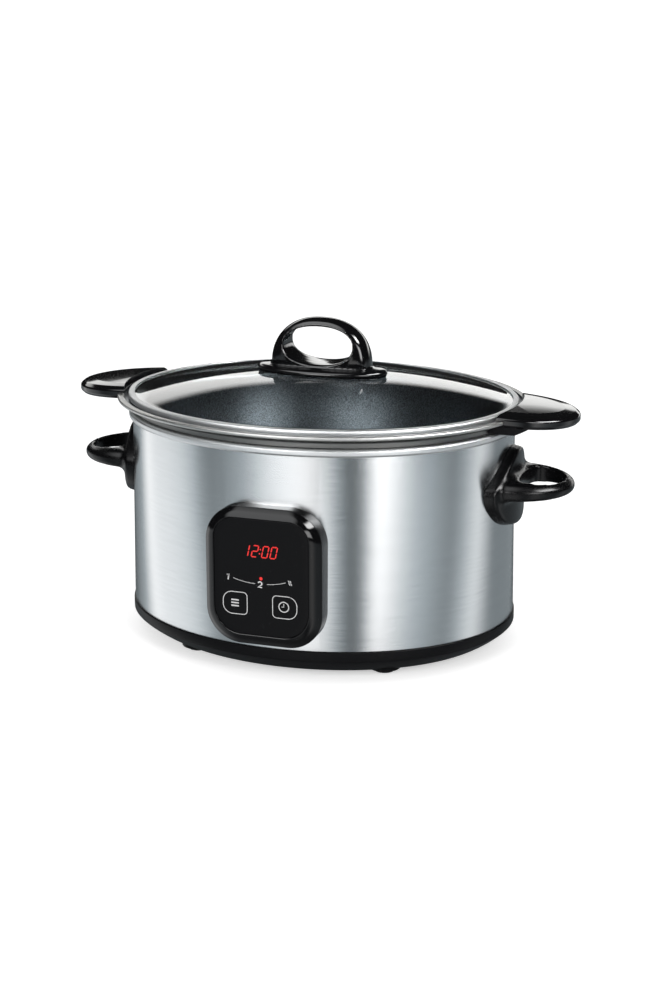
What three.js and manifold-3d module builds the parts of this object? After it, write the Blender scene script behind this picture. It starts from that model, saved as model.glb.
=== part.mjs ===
// A six litre oval slow cooker: a brushed steel housing round a heated well, a lift-out cooking pot
// with two grips, and a domed glass lid with a loop handle. Millimetres, +Z up, the front is -Y.
// The origin is on the table, under the centre of the oval.
import * as THREE from "three";
import { mergeVertices } from "three/addons/utils/BufferGeometryUtils.js";
import Module from "manifold-3d";

const wasm = await Module();
wasm.setup();

// ---------------------------------------------------------------- driving dimensions
const GAP = 0.3; // clearance between pieces that seat on each other
const SIDES = 32; // facets round every oval

const oval = { halfLength: 170, halfWidth: 139.3 }; // outside of the housing, at its foot
const wrap = { height: 168.5, taper: 2.5, sheet: 0.8 };
const foot = { x: 84, y: 85.5, bossRadius: 14, bossHeight: 2.4, padRadius: 9, padHeight: 5, padProud: 2.8 };
const base = { skirt: 23.3, knee: 14.8, proud: 1, inset: 20, roundness: 1.74, wall: 2.4, floor: 2.8,
  spigot: 6, spigotRoot: 3 };
const vent = { perRow: 5, pitch: 11, width: 3.6, length: 34, y: 62 };
const post = { x: 92, y: 40, radius: 6, neck: 4, bossRadius: 7, bossHeight: 7, engage: 8 };
const tieScrew = { radius: 2, headRadius: 4, headHeight: 2.6, seat: 4 };
const shield = { drop: 21.5, sheet: 0.8, inset: 30, turnDown: 5 };
const well = { sheet: 1.2, rim: 7, beadDrop: 6.5, beadProud: 3.4, depth: 125, draft: 4, corner: 18 };
const heater = { fromFloor: 20, height: 44, thickness: 1.6, split: 12, clampHalfWidth: 16, clampHeight: 24 };
const pot = { wall: 3, play: 1.6, lift: 2.3, collar: 4.4, collarInset: 0.8, rise: 12.4, flange: 10.4,
  flangeThick: 3.2, seatOuter: 5.3, seatInner: -6, seatDepth: 2.9, corner: 20 };
const grip = { proud: 55, root: 5, buried: 30, halfWidth: 48, hang: 4.2, heel: 4, crown: 6.4, shoulder: 14,
  edge: 4, fall: 3.2, along: 0.62, across: 1.05 };
const clamp = { from: -44, to: 12, reach: 19, height: 8, slack: 0.6, screwY: [-32, 0] };
const gripScrew = { radius: 2, headRadius: 3.4, headHeight: 2.4, length: 10.5, sunk: 3 };
const lid = { rimGrow: 1, rimSheet: 0.8, rimHold: 5, glass: 3.5, rise: 20, domePower: 2.2 };
const knob = { halfLength: 58.3, halfWidth: 27, crown: 7.4, archHalfSpan: 44, archTop: 48.1, archFoot: 6.6,
  archRootHalfDepth: 16, archTopHalfDepth: 9, ridge: 3.3, openHalfSpan: 31, openHalfHeight: 16,
  openCentre: 25.6, seal: 1.2, sealInset: 4, screwX: 37 };
const lidScrew = { radius: 2, headRadius: 4, headHeight: 2.4, length: 11.8 };
const lidPlate = { halfLength: 50, halfWidth: 10, sheet: 1.2 };
const handle = { z: 151, halfWidth: 50, above: 29, below: 38, plate: 8.5, skin: 2.5, draft: 1.8, round: 1.8,
  screwUp: 18, screwDown: 25 };
const loop = { proud: 52, buried: 2, halfWidth: 43, z: 149.5, above: 8, below: 7.5, shoulder: 9, slope: 7,
  heel: 5, thinning: 0.28, holeMid: 20, holeFar: 25, holeNear: 11, holeHalfWidth: 29.5,
  along: 0.9, across: 0.95 };
const handleScrew = { radius: 2.2, headRadius: 4, headHeight: 2, length: 6.5, inset: 0.9 };
const panel = { z: 91.5, halfWidth: 50, halfHeight: 58.4, corner: 30, proud: 13.7, slope: 7, lip: 0.5,
  windowMargin: 9, shell: 2.6 };
const facia = { up: 1, halfWidth: 40.7, halfHeight: 49.2, topCorner: 17, lowCorner: 23, thick: 2, ledge: 3.2,
  ledgeThick: 2 };
const board = { halfWidth: 33, halfHeight: 43, corner: 4, thick: 1.6, behindFacia: 7.5, clear: 1.4 };
const panelScrew = { x: 31, up: 39.5, radius: 1.4, headRadius: 2.6, headHeight: 1.6, bossRadius: 4, web: 2.5,
  length: 12 };
const cover = { sheet: 1.6, margin: 4, boss: 4, pegRadius: 2.5, pegX: 18, pegUp: 34 };
const display = { x: 2.5, z: 115, width: 40, height: 18 };
const touch = { x: 21.2, z: 70, radius: 7 };
const gland = { z: 19, radius: 7, bore: 4.2, flangeRadius: 9, flangeThick: 2, padHalfWidth: 13, padProud: 0.3,
  padDepth: 18, padDrop: 11, tail: 13.4, inside: 4 };
const powerBoard = { y: 6, width: 92, depth: 58, thick: 1.6, pegHeight: 5, pegRadius: 3, pegX: 38, pegY: 22 };
const relay = { x: -22, y: 6, width: 29, depth: 13, height: 16 };
const terminals = { x: 24, y: 14, width: 32, depth: 12, height: 14, ways: 4 };
const sensor = { radius: 8, height: 6, clipHalfWidth: 9, clipReach: 20, clipSheet: 1 };
const fuse = { x: 52, y: 24, radius: 3.2, length: 24 };

// ---------------------------------------------------------------- levels and reaches worked out
const baseBottom = foot.padProud + foot.bossHeight;
const baseFloor = baseBottom + base.floor;
const baseTop = baseBottom + base.skirt - GAP;
const wrapBottom = baseBottom + base.skirt;
const wrapTop = wrapBottom + wrap.height;
const wellTop = wrapTop + GAP + well.sheet;
const wellFloor = wellTop - well.depth; // underside
const shieldZ = wellFloor - shield.drop; // underside
const potShoulder = wellTop + GAP;
const potBottom = wellFloor + well.sheet + pot.lift;
const flangeTop = potShoulder + pot.rise;
const seatTop = flangeTop - pot.seatDepth;
const rimBottom = seatTop + GAP;
const glassEdge = rimBottom + lid.rimSheet + GAP; // underside of the glass at its rim
const glassTop = glassEdge + lid.glass;
const panelFront = oval.halfWidth + panel.proud; // distances out to the front
const panelShoulder = panelFront - panel.slope;
const over = 2 * wrapTop; // clear above everything

/** How far the wrap's outside stands from the driving oval at a height: it narrows upwards. */
const wrapGrow = (z) => (-wrap.taper * (z - wrapBottom)) / wrap.height;
const topGrow = wrapGrow(wrapTop);
/** How far the well's inside stands from the driving oval at a height. */
const wellGrow = (z) => topGrow - well.rim - (well.draft * (wellTop - z)) / well.depth;
/** X of the point at y on the oval grown by an amount. */
const ovalX = (y, grow) =>
  (oval.halfLength + grow) * Math.sqrt(Math.max(0, 1 - (y / (oval.halfWidth + grow)) ** 2));
/** -Y of the point at x on the oval grown by an amount. */
const ovalY = (x, grow) =>
  (oval.halfWidth + grow) * Math.sqrt(Math.max(0, 1 - (x / (oval.halfLength + grow)) ** 2));

// ---------------------------------------------------------------- solids from rings, shapes and cuts
const { Manifold, Mesh: RawMesh } = wasm;

/** A closed geometry as a manifold solid. */
function solidOf(geometry) {
  const bare = new THREE.BufferGeometry();
  bare.setAttribute("position", geometry.getAttribute("position").clone());
  bare.setIndex(geometry.index);
  const merged = mergeVertices(bare, 1e-4);
  const solid = new Manifold(new RawMesh({
    numProp: 3,
    vertProperties: new Float32Array(merged.attributes.position.array),
    triVerts: new Uint32Array(merged.index.array),
  }));
  return solid;
}

/** A manifold solid as a three.js geometry. */
function geometryOf(solid) {
  const { vertProperties, triVerts } = solid.simplify(0.02).getMesh();
  const geometry = new THREE.BufferGeometry();
  geometry.setAttribute("position", new THREE.BufferAttribute(new Float32Array(vertProperties), 3));
  geometry.setIndex(new THREE.BufferAttribute(new Uint32Array(triVerts), 1));
  geometry.computeVertexNormals();
  return geometry;
}

/** Skins a list of rings, each an array of as many points, into a closed solid. A closed loft joins its
 *  last ring to its first; an open one is capped with fans. */
function loft(rings, closed = false) {
  const count = rings[0].length;
  const points = rings.flat();
  const index = [];
  const last = closed ? rings.length : rings.length - 1;
  for (let i = 0; i < last; i++) {
    const here = i * count;
    const next = ((i + 1) % rings.length) * count;
    for (let j = 0; j < count; j++) {
      const k = (j + 1) % count;
      index.push(here + j, here + k, next + k, here + j, next + k, next + j);
    }
  }
  if (!closed) {
    for (const [ring, start, flip] of [[rings[0], 0, true], [rings.at(-1), last * count, false]]) {
      const centre = ring.reduce((sum, p) => sum.add(p), new THREE.Vector3()).divideScalar(count);
      const hub = points.push(centre) - 1;
      for (let j = 0; j < count; j++) {
        const k = (j + 1) % count;
        index.push(hub, start + (flip ? k : j), start + (flip ? j : k));
      }
    }
  }
  let volume = 0;
  for (let i = 0; i < index.length; i += 3) {
    const [a, b, c] = [points[index[i]], points[index[i + 1]], points[index[i + 2]]];
    volume += a.dot(new THREE.Vector3().crossVectors(b, c));
  }
  if (volume < 0) index.reverse();
  const geometry = new THREE.BufferGeometry().setFromPoints(points);
  geometry.setIndex(index);
  return solidOf(geometry);
}

/** One level ring of an ellipse. */
function ellipseRing(halfLength, halfWidth, z, sides = SIDES) {
  return Array.from({ length: sides }, (_, i) => {
    const angle = (2 * Math.PI * i) / sides;
    return new THREE.Vector3(halfLength * Math.cos(angle), halfWidth * Math.sin(angle), z);
  });
}

/** A ring of the housing's oval, grown sideways. */
const ovalRing = (grow, z) => ellipseRing(oval.halfLength + grow, oval.halfWidth + grow, z);
/** A solid whose wall follows a profile of [grow, z] pairs round the oval. */
const ovalSolid = (profile, closed) => loft(profile.map(([grow, z]) => ovalRing(grow, z)), closed);
/** An upright oval block between two heights, following the wrap's taper at an offset from its outside. */
const wrapBlock = (offset, low = 0, high = wrapTop + well.depth) =>
  ovalSolid([[wrapGrow(low) + offset, low], [wrapGrow(high) + offset, high]]);
/** An upright oval block of one size. */
const ovalBlock = (grow, low, high) => ovalSolid([[grow, low], [grow, high]]);

const X = new THREE.Vector3(1, 0, 0);
const Y = new THREE.Vector3(0, 1, 0);
const Z = new THREE.Vector3(0, 0, 1);
const towards = {
  up: new THREE.Matrix4(),
  right: new THREE.Matrix4().makeBasis(Y, Z, X), // shape x is Y, shape y is Z
  front: new THREE.Matrix4().makeBasis(X, Z, Y.clone().negate()), // shape x is X, shape y is Z
};

/** A shape extruded between two distances along a direction. */
function prism(shape, from, to, direction = "up", curveSegments = 8) {
  const geometry = new THREE.ExtrudeGeometry(shape, { depth: to - from, bevelEnabled: false, curveSegments });
  geometry.translate(0, 0, from);
  geometry.applyMatrix4(towards[direction]);
  return solidOf(geometry);
}

/** A box between two corners. */
function block(low, high) {
  const size = high.map((v, i) => v - low[i]);
  const geometry = new THREE.BoxGeometry(...size);
  geometry.translate(...low.map((v, i) => v + size[i] / 2));
  return solidOf(geometry);
}

/** A profile of [radius, height] pairs turned about +Z; it runs upwards, and starts and ends on the axis. */
function turned(profile, sides = 20) {
  const geometry = new THREE.LatheGeometry(profile.map(([r, z]) => new THREE.Vector2(r, z)), sides);
  geometry.rotateX(Math.PI / 2);
  return solidOf(geometry);
}

/** A plain cylinder along a direction, from a point. */
function rod(radius, length, at, direction = "up", sides = 10) {
  const shape = new THREE.Shape();
  for (let i = 0; i < sides; i++) {
    const angle = (2 * Math.PI * (i + 0.5)) / sides;
    const point = [radius * Math.cos(angle), radius * Math.sin(angle)];
    if (i) shape.lineTo(...point);
    else shape.moveTo(...point);
  }
  shape.closePath();
  return prism(shape, 0, length, direction).translate(at);
}

/** The points of a rounded rectangle round (0, 0), as [across, up] pairs, always as many. */
function roundedOutline(halfWidth, halfHeight, topCorner, lowCorner = topCorner, perCorner = 4) {
  const points = [];
  const centres = [[1, 1, topCorner], [-1, 1, topCorner], [-1, -1, lowCorner], [1, -1, lowCorner]];
  centres.forEach(([sx, sy, corner], quarter) => {
    for (let i = 0; i <= perCorner; i++) {
      const angle = (Math.PI / 2) * (quarter + i / perCorner);
      points.push([sx * (halfWidth - corner) + corner * Math.cos(angle),
        sy * (halfHeight - corner) + corner * Math.sin(angle)]);
    }
  });
  return points;
}

/** A THREE.Shape through [x, y] points. */
const shapeOf = (points) => new THREE.Shape(points.map(([x, y]) => new THREE.Vector2(x, y)));

/** |t| to a power, keeping the sign: rounds an ellipse into a squarer superellipse. */
const signedPower = (t, power) => Math.sign(t) * Math.abs(t) ** power;

/** Points of a superellipse as [across, up] pairs; squareness 2 is an ellipse. */
function superellipse(halfWidth, halfHeight, squareness, count) {
  return Array.from({ length: count }, (_, i) => {
    const angle = (2 * Math.PI * i) / count;
    return [halfWidth * signedPower(Math.cos(angle), 2 / squareness),
      halfHeight * signedPower(Math.sin(angle), 2 / squareness)];
  });
}

const subtractAll = (solid, cuts) => cuts.reduce((rest, cut) => rest.subtract(cut), solid);
const addAll = (solid, extras) => extras.reduce((sum, extra) => sum.add(extra), solid);

// ---------------------------------------------------------------- materials and meshes
const finish = (color, roughness, metalness, more = {}) =>
  new THREE.MeshStandardMaterial({ color, roughness, metalness, ...more });
const materials = {
  brushedSteel: finish(0xb9bcbe, 0.32, 1),
  brightSteel: finish(0xc9cacb, 0.15, 1),
  platedSteel: finish(0x9ea1a3, 0.45, 1),
  castAluminium: finish(0x8f9192, 0.4, 1),
  blackGloss: finish(0x0b0b0c, 0.12, 0),
  blackMatt: finish(0x141415, 0.5, 0),
  rubber: finish(0x1a1a1a, 0.8, 0),
  facia: finish(0x0d0d0e, 0.05, 0),
  glass: finish(0xdfe6e6, 0.02, 0, { transparent: true, opacity: 0.35 }),
  silicone: finish(0x2a2b2c, 0.7, 0),
  mica: finish(0xb9ae93, 0.7, 0),
  circuitBoard: finish(0x1f5a35, 0.5, 0),
  component: finish(0x202224, 0.5, 0),
};

function mesh(name, solid, material) {
  const made = new THREE.Mesh(geometryOf(solid), material);
  made.name = name;
  return made;
}

/** A pan-head screw standing on its head's seat: head below z 0, shank above, with a slot. */
function panScrew({ radius, headRadius, headHeight }, length) {
  const solid = turned([[0, -headHeight], [headRadius * 0.7, -headHeight], [headRadius, -headHeight * 0.45],
    [headRadius, 0], [radius, 0], [radius, length - radius * 0.6], [0, length]], 8);
  const slot = headRadius * 0.22;
  return solid.subtract(block([-headRadius, -slot, -headHeight - 1], [headRadius, slot, -headHeight * 0.6]));
}

/** A hole for a screw's shank, long enough for what it passes. */
const screwHole = (radius, length, at, direction) => rod(radius + GAP, length, at, direction, 10);

/** Points of a quarter round from a level floor up to a wall, as [grow, z] pairs. */
function quarterRound(wallGrow, floorZ, radius, steps = 3) {
  return Array.from({ length: steps + 1 }, (_, i) => {
    const angle = (Math.PI / 2) * (i / steps);
    return [wallGrow - radius * (1 - Math.sin(angle)), floorZ + radius * (1 - Math.cos(angle))];
  });
}

/** A long slot with round ends, running along Y. */
function slotShape(width, length) {
  const r = width / 2;
  const shape = new THREE.Shape();
  shape.absarc(0, length / 2 - r, r, 0, Math.PI);
  shape.absarc(0, r - length / 2, r, Math.PI, 2 * Math.PI);
  return shape;
}

const corners = [[1, -1, "front_right"], [-1, -1, "front_left"], [1, 1, "rear_right"], [-1, 1, "rear_left"]];
const sides = [[1, "right"], [-1, "left"]];
/** The right-hand piece as built, or its mirror image for the left. */
const sided = (solid, side) => (side > 0 ? solid : solid.mirror([1, 0, 0]));
/** The right-hand piece as built, or the same piece turned half round for the left. */
const turnedRound = (solid, side) => (side > 0 ? solid : solid.rotate([0, 0, 180]));

/** One ring of a tongue with a round nose that points along +X, drawn in by an amount. */
function tongueRing({ root, reach, halfWidth, along, across }, shrink, zAt, count = 25) {
  return Array.from({ length: count }, (_, i) => {
    const angle = -Math.PI / 2 + (Math.PI * i) / (count - 1);
    const x = root + (reach - shrink - root) * signedPower(Math.cos(angle), along);
    const fraction = (x - root) / (reach - root);
    return new THREE.Vector3(x, (halfWidth - shrink) * signedPower(Math.sin(angle), across), zAt(fraction));
  });
}

const part = new THREE.Group();
part.name = "slow_cooker";
const add = (...args) => part.add(mesh(...args));

// ---------------------------------------------------------------- base tray, feet and cord gland
const postFoot = baseFloor + post.bossHeight + GAP;
const screwSeat = baseBottom + tieScrew.seat;
const boardBottom = baseFloor + powerBoard.pegHeight + GAP;
const glandFace = oval.halfWidth + gland.padProud;
const glandInside = glandFace - gland.padDepth;
const spigotOuter = -wrap.sheet - GAP;
const kneeZ = baseBottom + base.knee;

/** The tray's curve from the knee of its side in to the bottom, as [grow, z] pairs. */
function skirtCurve(kneeGrow, lowGrow, lowZ, steps = 4) {
  return Array.from({ length: steps + 1 }, (_, i) => {
    const angle = (Math.PI / 2) * (i / steps);
    const inwards = 1 - Math.cos(angle) ** base.roundness;
    const down = Math.sin(angle) ** base.roundness;
    return [kneeGrow + (lowGrow - kneeGrow) * inwards, kneeZ + (lowZ - kneeZ) * down];
  });
}

function baseTray() {
  const inner = spigotOuter - base.wall;
  const outside = ovalSolid(
    [...skirtCurve(base.proud, -base.inset, baseBottom).reverse(), [base.proud, baseTop]]);
  const inside = ovalSolid(
    [...skirtCurve(inner, -base.inset - base.wall, baseFloor).reverse(), [inner, baseTop + 1]]);
  const spigot = ovalSolid([
    [inner, baseTop - base.spigotRoot], [spigotOuter, baseTop - base.spigotRoot],
    [spigotOuter - 0.1, baseTop + base.spigot], [inner, baseTop + base.spigot]], true);
  let solid = outside.subtract(inside).add(spigot);

  // flat pad carrying the cord gland
  solid = solid.add(block(
    [-gland.padHalfWidth, glandInside, gland.z - gland.padDrop],
    [gland.padHalfWidth, glandFace, baseTop - 0.2]));
  solid = solid.subtract(block(
    [-gland.padHalfWidth, glandFace, 0], [gland.padHalfWidth, 2 * glandFace, wrapTop]));
  const bore = rod(gland.radius + GAP, gland.padDepth + 4, [0, glandFace + 2, gland.z], "front", 12);
  solid = solid.subtract(bore);

  for (const [sx, sy] of corners) {
    const at = [sx * foot.x, sy * foot.y];
    const outer = foot.padProud;
    const boss = turned([[0, outer], [foot.bossRadius - 1.5, outer], [foot.bossRadius, outer + 1.5],
      [foot.bossRadius, baseFloor - GAP], [0, baseFloor - GAP]], 14).translate([...at, 0]);
    const recess = rod(foot.padRadius + GAP, foot.padHeight + GAP, [...at, 0], "up", 14);
    solid = solid.add(boss).subtract(recess);
    const postAt = [sx * post.x, sy * post.y];
    solid = solid.add(rod(post.bossRadius, post.bossHeight + 1, [...postAt, baseFloor - 1], "up", 12));
    solid = solid.subtract(rod(tieScrew.headRadius + GAP, tieScrew.seat + 1, [...postAt, baseBottom - 1]));
    solid = solid.subtract(
      screwHole(tieScrew.radius, post.bossHeight + base.floor, [...postAt, screwSeat - 0.5]));
    const peg = [sx * powerBoard.pegX, powerBoard.y + sy * powerBoard.pegY];
    solid = solid.add(rod(powerBoard.pegRadius, powerBoard.pegHeight + 1, [...peg, baseFloor - 1]));
  }
  const slots = [];
  for (const row of [-1, 1]) {
    for (let i = 0; i < vent.perRow; i++) {
      const x = (i - (vent.perRow - 1) / 2) * vent.pitch;
      slots.push(prism(slotShape(vent.width, vent.length), baseBottom - 1, baseFloor + 1, "up", 2)
        .translate([x, row * vent.y, 0]));
    }
  }
  return subtractAll(solid, slots);
}

function cordGland() {
  const tail = glandFace + gland.tail;
  const length = tail - glandInside + gland.inside;
  const tube = rod(gland.radius, length, [0, tail, gland.z], "front", 12);
  const collar = rod(gland.flangeRadius, gland.flangeThick, [0, glandFace + GAP + gland.flangeThick, gland.z],
    "front", 12);
  const ribs = [1, 2].map((i) =>
    rod(gland.radius + 0.8, 1.4, [0, glandFace + gland.flangeThick + i * 3.4, gland.z], "front", 12));
  return addAll(tube, [collar, ...ribs])
    .subtract(rod(gland.bore, length + 2, [0, tail + 1, gland.z], "front", 12));
}

add("base_tray", baseTray(), materials.blackMatt);
for (const [sx, sy, where] of corners) {
  const at = [sx * foot.x, sy * foot.y];
  const r = foot.padRadius;
  const pad = turned([[0, 0], [r - 1, 0], [r, 1], [r, foot.padHeight], [0, foot.padHeight]], 14);
  add(`foot_pad_${where}`, pad.translate([...at, 0]), materials.rubber);
}
add("cord_gland", cordGland(), materials.rubber);

// ---------------------------------------------------------------- outer wrap
/** The outline of the panel's bezel round its middle, in X and Z, grown by an amount. */
const panelOutline = (growth) =>
  roundedOutline(panel.halfWidth + growth, panel.halfHeight + growth, panel.corner + growth);
/** The outline of the facia round the panel's middle, grown by an amount. */
const faciaOutline = (growth) =>
  roundedOutline(facia.halfWidth + growth, facia.halfHeight + growth, facia.topCorner + growth,
    facia.lowCorner + growth).map(([x, z]) => [x, z + facia.up]);
/** A block through the front of the housing with an outline of the panel. */
const panelPrism = (outline, from, to) => (
  prism(shapeOf(outline), from, to, "front").translate([0, 0, panel.z]));
const quadrants = [[1, 1], [-1, 1], [1, -1], [-1, -1]];
const panelBosses = quadrants.map(([sx, sz]) => [sx * panelScrew.x, panel.z + sz * panelScrew.up]);
const handleScrewHeights = [handle.z + handle.screwUp, handle.z - handle.screwDown];

function outerWrap() {
  const inner = -wrap.sheet;
  let solid = ovalSolid([
    [inner, wrapBottom], [0, wrapBottom], [topGrow, wrapTop], [topGrow + inner, wrapTop]], true);
  solid = solid.subtract(panelPrism(panelOutline(-panel.windowMargin), oval.halfWidth / 2, panelFront));
  for (const z of handleScrewHeights) {
    solid = solid.subtract(rod(handleScrew.radius + GAP, 2.4 * oval.halfLength,
      [-1.2 * oval.halfLength, 0, z], "right"));
  }
  return solid;
}
add("outer_wrap", outerWrap(), materials.brushedSteel);

// ---------------------------------------------------------------- heating well and heater
function heatingWell() {
  const beadGrow = topGrow + well.beadProud;
  const hug = topGrow + GAP + 0.1;
  const floorGrow = wellGrow(wellFloor + well.corner);
  const under = quarterRound(floorGrow + well.sheet, wellFloor, well.corner);
  const above = quarterRound(floorGrow, wellFloor + well.sheet, well.corner - well.sheet).reverse();
  return ovalSolid([
    ...under, [wellGrow(wellTop) + well.sheet, wellTop - well.sheet], [hug, wellTop - well.sheet],
    [hug, wellTop - well.beadDrop], [hug + 1.2, wellTop - well.beadDrop],
    [beadGrow - 0.6, wellTop - well.beadDrop + 0.9], [beadGrow, wellTop - well.beadDrop + 2.2],
    [beadGrow, wellTop - 2], [beadGrow - 0.7, wellTop - 0.6], [beadGrow - 2, wellTop],
    [wellGrow(wellTop) + 1, wellTop], [wellGrow(wellTop), wellTop - 1], ...above]);
}
add("heating_well", heatingWell(), materials.brightSteel);

const heaterBottom = wellFloor + heater.fromFloor;
const heaterTop = heaterBottom + heater.height;
/** A closed band hugging the well, from an offset outside it to another, between two heights. */
const wellBand = (near, far, low, high) => ovalSolid([
  [wellGrow(low) + well.sheet + near, low], [wellGrow(low) + well.sheet + far, low],
  [wellGrow(high) + well.sheet + far, high], [wellGrow(high) + well.sheet + near, high]], true);

const bandFar = GAP + heater.thickness;
add("heater_band", wellBand(GAP, bandFar, heaterBottom, heaterTop)
  .subtract(block([-heater.split / 2, 0, 0], [heater.split / 2, oval.halfLength, wrapTop])), materials.mica);
const clampMid = (heaterBottom + heaterTop) / 2;
add("heater_clamp", wellBand(bandFar + GAP, bandFar + GAP + 1.2,
  clampMid - heater.clampHeight / 2, clampMid + heater.clampHeight / 2)
  .intersect(block([-heater.clampHalfWidth, 0, 0], [heater.clampHalfWidth, oval.halfLength, wrapTop])),
materials.platedSteel);

// ---------------------------------------------------------------- heat shield, posts and base screws
function heatShield() {
  const edge = -shield.inset;
  let solid = ovalSolid([
    [edge - shield.sheet, shieldZ - shield.turnDown], [edge, shieldZ - shield.turnDown],
    [edge, shieldZ + shield.sheet - 0.4], [edge - 0.4, shieldZ + shield.sheet]]);
  solid = solid.subtract(ovalBlock(edge - shield.sheet, shieldZ - shield.turnDown - 1, shieldZ));
  for (const [sx, sy] of corners) {
    solid = solid.subtract(rod(post.neck + GAP, 3, [sx * post.x, sy * post.y, shieldZ - 1]));
  }
  return solid;
}
add("heat_shield", heatShield(), materials.platedSteel);
for (const [sx, sy, where] of corners) {
  const at = [sx * post.x, sy * post.y, 0];
  const turnedPost = turned([[0, postFoot], [post.radius, postFoot], [post.radius, shieldZ - GAP],
    [post.neck, shieldZ - GAP], [post.neck, wellFloor - GAP], [0, wellFloor - GAP]], 16);
  const bore = rod(tieScrew.radius + GAP, post.engage + 1 + GAP, [0, 0, postFoot - 1], "up", 12);
  add(`standoff_${where}`, turnedPost.subtract(bore).translate(at), materials.platedSteel);
  const screw = panScrew(tieScrew, postFoot - screwSeat + post.engage).translate([0, 0, screwSeat - GAP]);
  add(`base_screw_${where}`, screw.translate(at), materials.platedSteel);
}

// ---------------------------------------------------------------- sensor, fuse and power board
const sensorTop = wellFloor - GAP;
const clipTop = sensorTop - sensor.height - GAP;
const shieldTop = shieldZ + shield.sheet;
add("temperature_sensor", rod(sensor.radius, sensor.height, [0, 0, sensorTop - sensor.height], "up", 20),
  materials.platedSteel);

function sensorClip() {
  const { clipHalfWidth: w, clipReach: reach, clipSheet: t } = sensor;
  const low = shieldTop + GAP;
  const bridge = block([-w - t, -w / 2, clipTop - t], [w + t, w / 2, clipTop]);
  const legs = [-1, 1].map((s) => block(
    [s > 0 ? w : -w - t, -w / 2, low], [s > 0 ? w + t : -w, w / 2, clipTop]));
  const toes = [-1, 1].map((s) => block(
    [s > 0 ? w : -reach, -w / 2, low], [s > 0 ? reach : -w, w / 2, low + t]));
  return addAll(bridge, [...legs, ...toes]);
}
add("sensor_clip", sensorClip(), materials.brightSteel);
add("thermal_fuse", rod(fuse.radius, fuse.length,
  [fuse.x - fuse.length / 2, fuse.y, shieldTop + GAP + fuse.radius], "right", 16), materials.component);

const boardTop = boardBottom + powerBoard.thick;
add("power_board", block(
  [-powerBoard.width / 2, powerBoard.y - powerBoard.depth / 2, boardBottom],
  [powerBoard.width / 2, powerBoard.y + powerBoard.depth / 2, boardTop]), materials.circuitBoard);
/** A box standing on the power board, its top edges cut back a little. */
function boardBox({ x, y, width, depth, height }, cut = 1) {
  const low = boardTop + GAP;
  const lower = block([x - width / 2, y - depth / 2, low], [x + width / 2, y + depth / 2, low + height - cut]);
  const upper = block([x - width / 2 + cut, y - depth / 2 + cut, low],
    [x + width / 2 - cut, y + depth / 2 - cut, low + height]);
  return lower.add(upper);
}
add("power_relay", boardBox(relay), materials.component);
const wayPitch = terminals.width / terminals.ways;
const ways = Array.from({ length: terminals.ways }, (_, i) => {
  const x = terminals.x - terminals.width / 2 + (i + 0.5) * wayPitch;
  return rod(wayPitch * 0.28, 5, [x, terminals.y, boardTop + terminals.height - 4], "up", 12);
});
add("terminal_block", subtractAll(boardBox(terminals), ways), materials.component);

// ---------------------------------------------------------------- control panel
const faciaBack = panelFront - panel.lip - facia.thick;
const ledgeFront = faciaBack - GAP;
const boardFront = faciaBack - board.behindFacia;
const coverOut = -wrap.sheet - GAP;

/** A ring of one of the panel's outlines at a distance out to the front. */
const panelRing = (outline, out) => outline.map(([x, z]) => new THREE.Vector3(x, -out, panel.z + z));

function panelBezel() {
  let solid = loft([
    panelRing(panelOutline(0), oval.halfWidth * 0.8), panelRing(panelOutline(0), panelShoulder - 1.2),
    panelRing(panelOutline(-0.4), panelShoulder), panelRing(panelOutline(-1.4), panelShoulder + 0.8),
    panelRing(faciaOutline(0.9), panelFront - 0.3), panelRing(faciaOutline(0.2), panelFront)]);
  const recess = panelPrism(faciaOutline(0), ledgeFront, panelFront + 1);
  solid = solid.subtract(recess);
  solid = solid.subtract(panelPrism(faciaOutline(-facia.ledge), oval.halfWidth / 2, panelFront));
  const root = ledgeFront - facia.ledgeThick;
  const hollow = loft([
    panelRing(panelOutline(-panel.shell - 2), oval.halfWidth * 0.7),
    panelRing(panelOutline(-panel.shell - 2), panelShoulder - 3),
    panelRing(faciaOutline(-facia.ledge + 0.1), root)]);
  solid = solid.subtract(hollow);
  for (const [x, z] of panelBosses) {
    const from = oval.halfWidth - 1;
    const length = root + 0.5 - from;
    const boss = rod(panelScrew.bossRadius, length, [x, -from, z], "front", 12);
    const web = rod(panelScrew.bossRadius + panelScrew.web, facia.ledgeThick, [x, -root, z], "front", 12);
    solid = solid.add(boss).add(web.subtract(recess));
    solid = solid.subtract(rod(panelScrew.radius + GAP, length - 1.5, [x, 1 - from, z], "front", 10));
  }
  return solid.subtract(wrapBlock(GAP));
}
add("panel_bezel", panelBezel(), materials.blackGloss);
add("panel_facia", panelPrism(faciaOutline(-GAP), faciaBack, faciaBack + facia.thick), materials.facia);

const displayShape = shapeOf(roundedOutline(display.width / 2, display.height / 2, 1, 1, 2));
add("display_module", prism(displayShape, boardFront + GAP, faciaBack - GAP, "front")
  .translate([display.x, 0, display.z]), materials.component);
for (const [side, where] of sides) {
  add(`touch_pad_${where}`, rod(touch.radius, faciaBack - boardFront - 2 * GAP,
    [side * touch.x, -(boardFront + GAP), touch.z], "front", 20), materials.silicone);
}

function controlBoard() {
  const outline = shapeOf(roundedOutline(board.halfWidth, board.halfHeight, board.corner, board.corner, 3));
  const plate = prism(outline, boardFront - board.thick, boardFront, "front").translate([0, 0, panel.z]);
  return subtractAll(plate, panelBosses.map(([x, z]) => rod(
    panelScrew.bossRadius + board.clear, 3 * board.thick, [x, 2 * board.thick - boardFront, z], "front", 16)));
}
add("control_board", controlBoard(), materials.circuitBoard);

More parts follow.
